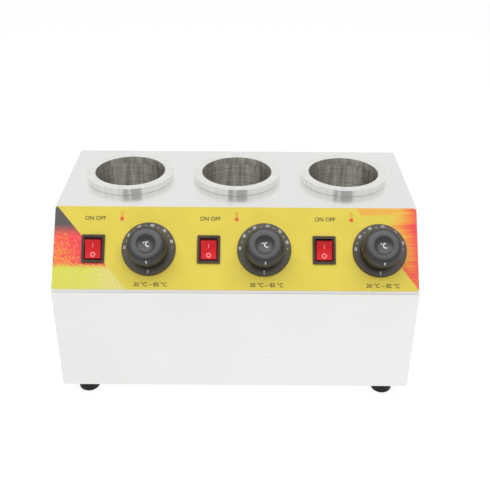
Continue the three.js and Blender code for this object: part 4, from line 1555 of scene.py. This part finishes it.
    def dot(self, size: float, radius: float, angle: float, top: float) -> Thing:
        """Print one dot of a size on the ring, at a radius and an angle."""
        spot = self.layout.dial(self.unit).spun(angle).moved(across=radius, out=top)
        outline = circle(size, 20)
        return loft("dot", rings([outline] * 2, [PRINT_LIFT, PRINT_LIFT + PRINT_THICKNESS]), spot)

    def build(self) -> None:
        """Build the ring, the knob and their prints, and finish the thermostat inside."""
        unit, finishes = self.unit, self.finishes
        body = f"{unit}_temperature_knob"
        dressed(self.ring(), finishes.dial, stands_for=[f"{unit}_dial_ring"])
        place = self.layout.dial(unit)
        knob = turned(f"{unit}_grip", self.knob_profile(), place)
        dressed(knob, finishes.knob, body, [f"{unit}_knob"])
        dressed(self.pointer(), finishes.white_ink, body)
        floor = place.box(f"{unit}_knob")[1][2] - self.dimple_depth
        spot = place.moved(*self.emblem_shift, floor)
        degree = lettering(
            f"{unit}_degree_mark", "°C", self.emblem_height, spot, self.emblem_weight)
        dressed(degree, finishes.white_ink, body)
        self.marks()
        repainted(f"{unit}_thermostat", finishes.phenolic)
        repainted(f"{unit}_thermostat_spindle", finishes.zinc)


@dataclass(frozen=True)
class RockerSwitch:
    """One rocker switch: the bezel and its body in one moulding, four tabs and the red rocker."""

    unit: str
    layout: Layout
    finishes: Finishes
    frame_side: float = 2.8
    frame_end: float = 3.15
    well_shift: float = -0.35
    slide: float = -0.7
    corner: float = 1.0
    edge: float = 0.5
    well_corner: float = 0.4
    inner_edge: float = 0.4
    bezel_height: float = 1.8
    body: tuple[float, float] = (21.8, 28.6)
    body_corner: float = 0.6
    body_start: float = 0.8
    body_depth: float = 20.0
    blade: tuple[float, float] = (6.3, 0.8)
    blade_rise: float = 7.0
    blade_overlap: float = 0.3
    blade_edge: float = 0.15
    well_floor: float = 6.4
    side_gap: float = 1.2
    end_gap: float = 1.7
    corner_rise: float = 4.0
    dish: float = 1.8
    belly: float = 3.7
    tilt: float = math.radians(10)
    rocker_edge: float = 0.45
    skirt_side: float = 1.0
    skirt_end: float = 1.0
    skirt_drop: float = 1.5
    bar_rise: float = 4.4
    bar_size: tuple[float, float] = (0.9, 4.6)
    ring_rise: float = -5.6
    ring_radii: tuple[float, float] = (1.5, 2.9)

    def housing_box(self) -> tuple[np.ndarray, np.ndarray]:
        """Give the housing's lowest and highest reach from the rocker's pivot."""
        return self.layout.pivot(self.unit).box(f"{self.unit}_switch_housing")

    def body_back(self) -> float:
        """Give the height of the body's back."""
        return self.housing_box()[1][2] - self.bezel_height - self.body_start - self.body_depth

    def housing(self) -> Thing:
        """Loft the body, the bezel with rounded edges, and the well that the rocker sits in."""
        side, end, top = self.housing_box()[1]
        well = rectangle(2 * (side - self.frame_side), 2 * (end - self.frame_end))
        return flanged(
            f"{self.unit}_bezel",
            self.layout.pivot(self.unit),
            (rectangle(*self.body), self.body_corner),
            (rectangle(2 * side, 2 * end), self.corner, self.edge),
            (well + [0, self.well_shift], self.well_corner, self.inner_edge),
            (self.body_back(), top - self.bezel_height, top, -self.well_floor),
        )

    def tabs(self) -> Thing:
        """Make the four blade terminals at the back of the switch."""
        foot, head = self.housing_box()[0][2], self.body_back()
        place = self.layout.pivot(self.unit)
        blades = []
        for across in (-1, 1):
            for along in (-1, 1):
                spot = place.moved(
                    across * self.body[0] / 4, along * self.blade_rise, (foot + head) / 2)
                blades.append(brick("blade", *self.blade, head - foot + self.blade_overlap, spot))
        tabs = joined(blades)
        tabs.name = f"{self.unit}_switch_tabs"
        return rounded(tabs, self.blade_edge, 2)

    def rocker_place(self) -> Place:
        """Give the rocker's own directions at rest, tilted about its pivot."""
        return self.layout.pivot(self.unit).tilted(self.tilt)

    def reach(self) -> float:
        """Give the rocker's half length, from its pivot to its round end."""
        return self.housing_box()[1][1] - self.frame_end - self.end_gap

    def dish_height(self, along: np.ndarray) -> np.ndarray:
        """Give the dished face's height: a parabola from corner to corner, lowest in the middle."""
        half = self.reach() * math.cos(math.asin(self.corner_rise / self.reach()))
        return self.corner_rise - self.dish * (1 - (along / half) ** 2)

    def half_width(self) -> float:
        """Give half the room that the rocker's face has between its side gaps."""
        return self.housing_box()[1][0] - self.frame_side - self.side_gap

    def run_across(self, name: str, half_width: float, reach: float, drop: float) -> Thing:
        """Run a rocker's side outline across its width.

        The outline is a round end about the pivot, the parabola of the dish, the other round
        end and a flat belly.

        Args:
            name: the piece's name.
            half_width: half its width.
            reach: its half length, from the pivot to its round end.
            drop: how far its face lies below the dish.

        Returns:
            The piece.
        """
        upper = math.asin((self.corner_rise - drop) / reach)
        lower = math.asin(self.belly / reach)
        right = np.linspace(-lower, upper, 9)
        left = np.linspace(np.pi - upper, np.pi + lower, 9)
        end_right = reach * np.stack([np.cos(right), np.sin(right)], axis=1)
        end_left = reach * np.stack([np.cos(left), np.sin(left)], axis=1)
        along = np.linspace(end_right[-1, 0], end_left[0, 0], 33)[1:-1]
        face = np.stack([along, self.dish_height(along) - drop], axis=1)
        outline = np.concatenate([end_right, face, end_left]) + [self.slide, 0]
        place = self.rocker_place()
        sideways = Place(place.origin, place.up, place.out, place.across)
        grid = rings([outline] * 2, [-half_width, half_width])
        return rounded(loft(name, grid, sideways), self.rocker_edge)

    def mark(self, name: str, across: np.ndarray, along: np.ndarray) -> Thing:
        """Lay a mark on the dished face, from the grid of its places across and along it."""
        height = self.dish_height(along)
        low = np.stack([across, along + self.slide, height + PRINT_LIFT], axis=-1)
        return slab(name, low, low + [0, 0, PRINT_THICKNESS], self.rocker_place())

    def marks(self) -> None:
        """Print the bar at the on end and the ring at the off end."""
        across, along = np.meshgrid(
            np.linspace(-0.5, 0.5, 3) * self.bar_size[0],
            np.linspace(-0.5, 0.5, 9) * self.bar_size[1] + self.bar_rise)
        bar_mark = self.mark(f"{self.unit}_on_mark", across, along)
        angle, radius = np.meshgrid(np.linspace(0, 2 * np.pi, 49), np.linspace(*self.ring_radii, 4))
        ring_mark = self.mark(
            f"{self.unit}_off_mark", radius * np.cos(angle), self.ring_rise + radius * np.sin(angle))
        for thing in (bar_mark, ring_mark):
            dressed(thing, self.finishes.pink_ink, f"{self.unit}_power_rocker")

    def build(self) -> None:
        """Build the housing, its tabs, the rocker, its skirt in a red darkened for painted shade, and
        its marks.
        """
        unit = self.unit
        dressed(self.housing(), self.finishes.bezel, stands_for=[f"{unit}_switch_housing"])
        dressed(self.tabs(), self.finishes.tinned)
        body = f"{unit}_power_rocker"
        half, reach = self.half_width(), self.reach()
        rocker = self.run_across(f"{unit}_rocker", half, reach, 0)
        dressed(rocker, self.finishes.rocker, body, [f"{unit}_switch_rocker"])
        # The skirt lies lower and wider than the rocker, in a darker copy of its red that paints the
        # shade in the gap round it.
        skirt = self.run_across(
            f"{unit}_rocker_skirt", half + self.skirt_side, reach + self.skirt_end, self.skirt_drop)
        dressed(skirt, self.finishes.skirt, body)
        self.marks()


@dataclass(frozen=True)
class Foot:
    """One rubber foot and the screw up its middle."""

    corner: str
    finishes: Finishes
    recess_radius: float = 6.5
    recess_depth: float = 10.0
    sole_radius: float = 9.4
    waist_radius: float = 11.7
    waist_rise: float = 2.2
    hole_radius: float = 2.5
    screw_radius: float = 2.2
    head_radius: float = 5.0
    head_height: float = 3.5
    head_face: float = 0.9
    head_dome: float = 0.3
    slot_size: tuple[float, float, float] = (1.0, 5.4, 3.2)

    def pad(self) -> Thing:
        """Turn the foot: a rounded sole, a taper and a straight collar, with a recess below."""
        node = f"{self.corner}_foot"
        place = foot_place(self.corner)
        high = place.box(node)[1]
        return turned(f"{self.corner}_pad", path([
            [self.recess_radius, 0, 0.4],
            [self.sole_radius, 0, 1.2],
            [self.waist_radius, self.waist_rise, 1.4],
            [high[0], high[2] / 2, 2.0],
            [high[0], high[2], 0.4],
            [self.hole_radius, high[2], 0.1],
            [self.hole_radius, self.recess_depth, 0.1],
            [self.recess_radius, self.recess_depth, 0.5],
        ], closed=True), place, hollow=True)

    def screw(self) -> Thing:
        """Turn the screw with its domed head down, and cut the cross in it."""
        place = foot_place(self.corner)
        low, high = place.box(f"{self.corner}_foot_screw")
        seat = low[2] + self.head_height
        screw = turned(f"{self.corner}_cross_screw", path([
            [0, low[2], 0],
            [self.head_radius * self.head_face, low[2] + self.head_dome, 1.2],
            [self.head_radius, seat, 0.3],
            [self.screw_radius, seat, 0.1],
            [self.screw_radius, high[2], 0.5],
            [0, high[2], 0],
        ]), place)
        return cross_cut(screw, place.moved(out=low[2]), self.slot_size)

    def build(self) -> None:
        """Build the foot and its screw."""
        dressed(self.pad(), self.finishes.rubber, stands_for=[f"{self.corner}_foot"])
        dressed(self.screw(), self.finishes.zinc, stands_for=[f"{self.corner}_foot_screw"])


def cross_cut(screw: Thing, place: Place, size: tuple[float, float, float]) -> Thing:
    """Cut a cross recess into a screw's head.

    Args:
        screw: the screw.
        place: the middle of the head's face, square to it.
        size: the slots' width, length and depth both ways from the face.

    Returns:
        The screw.
    """
    width, length, depth = size
    arms = [brick("arm", width, length, depth, place), brick("arm", length, width, depth, place)]
    screw = cut(screw, [arms[0]])
    return cut(screw, [arms[1]])


@dataclass(frozen=True)
class MainsInlet:
    """The appliance inlet in the back: a flanged socket, three pins, three tabs and two screws."""

    finishes: Finishes
    flange: tuple[float, float] = (50.0, 23.0)
    flange_corner: float = 4.0
    flange_thickness: float = 3.0
    seat: float = 0.2
    edge: float = 0.6
    body: tuple[float, float] = (27.0, 19.6)
    body_corner: float = 1.0
    body_depth: float = 20.0
    mouth: tuple[float, float] = (24.2, 16.4)
    mouth_corner: float = 3.0
    mouth_depth: float = 16.0
    pin: tuple[float, float, float] = (2.0, 4.0, 13.0)
    spacing: float = 14.0
    earth_rise: float = 2.4
    tab: tuple[float, float, float] = (6.3, 0.8, 8.0)
    pin_edge: float = 0.5
    tab_edge: float = 0.15
    head_radius: float = 3.0
    head_face: float = 0.94
    shank_radius: float = 1.6
    slot_size: tuple[float, float, float] = (0.7, 3.4, 2.0)

    def shell(self) -> Thing:
        """Loft the body behind the sheet, the flange with a rounded edge, and the mouth."""
        top = self.seat + self.flange_thickness
        return flanged(
            "inlet_socket",
            inlet_place(),
            (rectangle(*self.body), self.body_corner),
            (rectangle(*self.flange), self.flange_corner, self.edge),
            (rectangle(*self.mouth), self.mouth_corner, self.edge),
            (self.seat - self.body_depth, self.seat, top, top - self.mouth_depth),
        )

    def blades(self) -> list[Thing]:
        """Make the three contact pins in the mouth and the three tabs inside the casing."""
        place = inlet_place()
        floor = self.seat + self.flange_thickness - self.mouth_depth
        back = self.seat - self.body_depth
        pins, tabs = [], []
        for side, rise in ((-1, 0), (0, self.earth_rise), (1, 0)):
            at = place.moved(across=side * self.spacing / 2, up=rise)
            pins.append(brick("pin", *self.pin, at.moved(out=floor + self.pin[2] / 2)))
            tabs.append(brick("tab", *self.tab, at.moved(out=back - self.tab[2] / 2)))
        pins, tabs = joined(pins), joined(tabs)
        pins.name, tabs.name = "inlet_pins", "inlet_tabs"
        return [rounded(pins, self.pin_edge), rounded(tabs, self.tab_edge, 2)]

    def screw(self, node: str) -> Thing:
        """Turn one flange screw with a domed head, and cut the cross in it."""
        low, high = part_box(node)
        place = inlet_place()
        spot = place.local(np.array([(low + high) / 2]))[0]
        lowest, highest = place.box(node)
        axis = place.moved(spot[0], spot[1], 0)
        seat = self.seat + self.flange_thickness + self.seat
        tip, top = lowest[2], highest[2]
        screw = turned(node.replace("inlet", "flange"), path([
            [0, tip, 0],
            [self.shank_radius, tip, 0.4],
            [self.shank_radius, seat, 0.1],
            [self.head_radius, seat, 0.2],
            [self.head_radius * self.head_face, top, 0.9],
            [0, top, 0],
        ]), axis)
        return cross_cut(screw, axis.moved(out=top), self.slot_size)

    def build(self) -> None:
        """Build the socket, its pins, tabs and screws."""
        dressed(self.shell(), self.finishes.socket, stands_for=["mains_inlet"])
        for thing in self.blades():
            dressed(thing, self.finishes.tinned)
        for node in ("left_inlet_screw", "right_inlet_screw"):
            dressed(self.screw(node), self.finishes.zinc, stands_for=[node])


@dataclass(frozen=True)
class Wiring:
    """The terminal block, the earth stud and the supply loom on the base plate."""

    finishes: Finishes

    def build(self) -> None:
        """Give each of the three its finish."""
        repainted("terminal_block", self.finishes.nylon)
        repainted("earth_stud", self.finishes.zinc)
        repainted("supply_loom", self.finishes.sleeve)


# The studio


@dataclass(frozen=True)
class Studio:
    """The photograph's camera, a pale floor and plain soft light.

    The camera's place is in millimetres and its angles are radians. The focal length is in
    pixels of an image 490 pixels wide.
    """

    camera_place: tuple[float, float, float] = (7.999, -815.661, 611.375)
    yaw: float = -0.002823
    pitch: float = -0.521982
    roll: float = -0.008602
    focal_pixels: float = 778.952
    image_pixels: float = 490.0
    sensor: float = 36.0
    sky: float = 0.22
    mirrored_sky: float = 0.91
    floor_glow: float = 0.9
    floor_width: float = 8.0
    floor_seen: str = "7C7C7C"
    floor_shade: str = "F2F2F2"
    band_level: float = 0.45
    band_heights: tuple[float, float] = (0.26, 0.18)
    band_starts: tuple[float, float] = (-0.3, -0.5)
    card_spans: tuple[tuple[float, float], ...] = ((-0.35, -0.12), (-0.04, 0.47))
    card_heights: tuple[float, float] = (0.30, 0.84)
    card_place: float = -0.87
    card_level: float = 0.42
    lamp_place: tuple[float, float, float] = (0, -0.6, 1.9)
    lamp_size: tuple[float, float] = (3.2, 2.0)
    lamp_watts: float = 47.5
    lamp_target: tuple[float, float, float] = (0, 0, 0.15)

    def camera(self) -> None:
        """Set up the camera: turned by yaw about Z, then pitch and roll."""
        turn = (Matrix.Rotation(self.yaw, 3, "Z") @ Matrix.Rotation(self.pitch, 3, "X")
                @ Matrix.Rotation(self.roll, 3, "Y"))
        right, forward, up = turn.col
        data = bpy.data.cameras.new("camera")
        data.sensor_width = self.sensor
        data.lens = self.focal_pixels / self.image_pixels * self.sensor
        data.clip_start = 0.01
        holder = placed("camera", data)
        facing = Matrix((right, up, -forward)).transposed().to_4x4()
        holder.matrix_world = Matrix.Translation(Vector(self.camera_place) * MM) @ facing
        bpy.context.scene.camera = holder

    def flat(self, name: str, corners: list, material: Material) -> None:
        """Make a flat stage piece from its quads' corners in metres."""
        mesh = bpy.data.meshes.new(name)
        faces = [tuple(range(i, i + 4)) for i in range(0, len(corners), 4)]
        mesh.from_pydata(corners, [], faces)
        mesh.materials.append(material)
        placed(name, mesh)

    def floor(self) -> None:
        """Lay the floor: a matt white sweep that shows nearly white and keeps a soft shadow."""
        material, tree, shader = new_material("white sweep")
        wire(tree, shader, {
            "Base Color": linear(self.floor_shade), "Roughness": 1.0, "Specular IOR Level": 0.0})
        rays = add(tree, "LightPath").outputs
        white = (1, 1, 1, 1)
        glow = add(tree, "Emission", {"Color": white, "Strength": self.floor_glow})
        pale = add(tree, "BsdfDiffuse", {"Color": linear(self.floor_seen)})
        lit = add(tree, "AddShader", {0: glow.outputs[0], 1: pale.outputs[0]})
        mirrored = add(tree, "Emission", {"Color": white, "Strength": 1.0})
        first = add(tree, "MixShader", {
            0: rays["Is Glossy Ray"], 1: shader.outputs[0], 2: mirrored.outputs[0]})
        last = add(tree, "MixShader", {
            0: rays["Is Camera Ray"], 1: first.outputs[0], 2: lit.outputs[0]})
        wire(tree, tree.nodes["Material Output"], {"Surface": last.outputs[0]})
        corners = [(x, y, 0) for x, y in rectangle(self.floor_width, self.floor_width).tolist()]
        self.flat("floor", corners, material)

    def card(self) -> None:
        """Stand a grey card behind the camera, in two parts with a gap, that only metal shows."""
        material, tree, shader = new_material("grey card")
        tree.nodes.remove(shader)
        grey = (self.card_level, self.card_level, self.card_level, 1)
        seen = add(tree, "Emission", {"Color": grey, "Strength": 1.0})
        clear = add(tree, "BsdfTransparent")
        glossy = add(tree, "LightPath").outputs["Is Glossy Ray"]
        both = add(tree, "MixShader", {0: glossy, 1: clear.outputs[0], 2: seen.outputs[0]})
        wire(tree, tree.nodes["Material Output"], {"Surface": both.outputs[0]})
        low, high = self.card_heights
        corners = []
        for left, right in self.card_spans:
            outline = ((left, low), (right, low), (right, high), (left, high))
            corners += [(x, self.card_place, z) for x, z in outline]
        self.flat("card", corners, material)

    def sky_light(self) -> None:
        """Light the warmer from all round, and show metal a grey band low in front of it.

        The backdrop is plain white to the camera.
        """
        world = bpy.data.worlds.new("studio")
        bpy.context.scene.world = world
        world.use_nodes = True
        tree = world.node_tree
        tree.nodes.clear()
        way = add(tree, "TexCoord").outputs["Generated"]
        split = add(tree, "SeparateXYZ", {0: way}).outputs
        low, ahead = (
            add(tree, "MapRange", {0: value, 1: ends[0], 2: ends[1]}).outputs[0]
            for value, ends in ((split[2], self.band_heights), (split[1], self.band_starts)))
        band = add(tree, "Math", {0: low, 1: ahead}, operation="MULTIPLY").outputs[0]
        level = self.band_level
        mirrored_colour = add(tree, "Mix", {
            0: band, 6: (1, 1, 1, 1), 7: (level, level, level, 1)}, data_type="RGBA").outputs[2]
        rays = add(tree, "LightPath").outputs
        lighting = add(tree, "Background", {"Color": (1, 1, 1, 1), "Strength": self.sky})
        mirrored = add(tree, "Background", {"Color": mirrored_colour, "Strength": self.mirrored_sky})
        backdrop = add(tree, "Background", {"Color": (1, 1, 1, 1), "Strength": 1.0})
        first = add(tree, "MixShader", {
            0: rays["Is Glossy Ray"], 1: lighting.outputs[0], 2: mirrored.outputs[0]})
        last = add(tree, "MixShader", {
            0: rays["Is Camera Ray"], 1: first.outputs[0], 2: backdrop.outputs[0]})
        add(tree, "OutputWorld", {"Surface": last.outputs[0]})

    def softbox(self, name: str, pieces: Sequence[Thing], lights_them: bool) -> None:
        """Hang the overhead softbox, for some pieces alone or for all but those.

        Args:
            name: the lamp's name.
            pieces: the pieces that it lights, and whose gloss shows it, or the ones it leaves out.
            lights_them: whether it lights the pieces.
        """
        lamp = bpy.data.lights.new(name, "AREA")
        lamp.shape = "RECTANGLE"
        lamp.size, lamp.size_y = self.lamp_size
        lamp.energy = self.lamp_watts
        holder = placed(name, lamp)
        spot = Vector(self.lamp_place)
        holder.location = spot
        way = Vector(self.lamp_target) - spot
        holder.rotation_euler = way.to_track_quat("-Z", "Y").to_euler()
        holder.visible_glossy = lights_them
        group = bpy.data.collections.new(name)
        for piece in pieces:
            group.objects.link(piece)
        for item in group.collection_objects:
            item.light_linking.link_state = "INCLUDE" if lights_them else "EXCLUDE"
        holder.light_linking.receiver_collection = group

    def build(self) -> None:
        """Set up the whole studio."""
        bpy.context.scene.view_settings.view_transform = "Standard"
        self.camera()
        self.floor()
        self.card()
        self.sky_light()
        kinds = ("grip", "dial", "cup", "bore_face")
        satin = [bpy.data.objects[f"{unit}_{kind}"] for unit in UNITS for kind in kinds]
        self.softbox("overhead softbox", satin, False)
        self.softbox("overhead softbox on dials and wells", satin, True)
        log.info("studio: camera, floor, card, sky and an overhead softbox")


def main() -> None:
    """Build the warmer's sub-assemblies in order, then the studio round them."""
    logging.basicConfig(level=logging.INFO, format="%(name)s: %(message)s")
    layout = Layout.measure()
    finishes = Finishes.build()
    parts: list = [
        Casing(layout, finishes),
        Label(layout, finishes),
        MainsInlet(finishes),
        Wiring(finishes),
        *(Foot(corner, finishes) for corner in FOOT_CORNERS),
    ]
    for unit in UNITS:
        parts += [
            Well(unit, finishes),
            Thermostat(unit, layout, finishes),
            RockerSwitch(unit, layout, finishes),
        ]
    for part in parts:
        part.build()
    Studio().build()


if __name__ == "__main__":
    main()
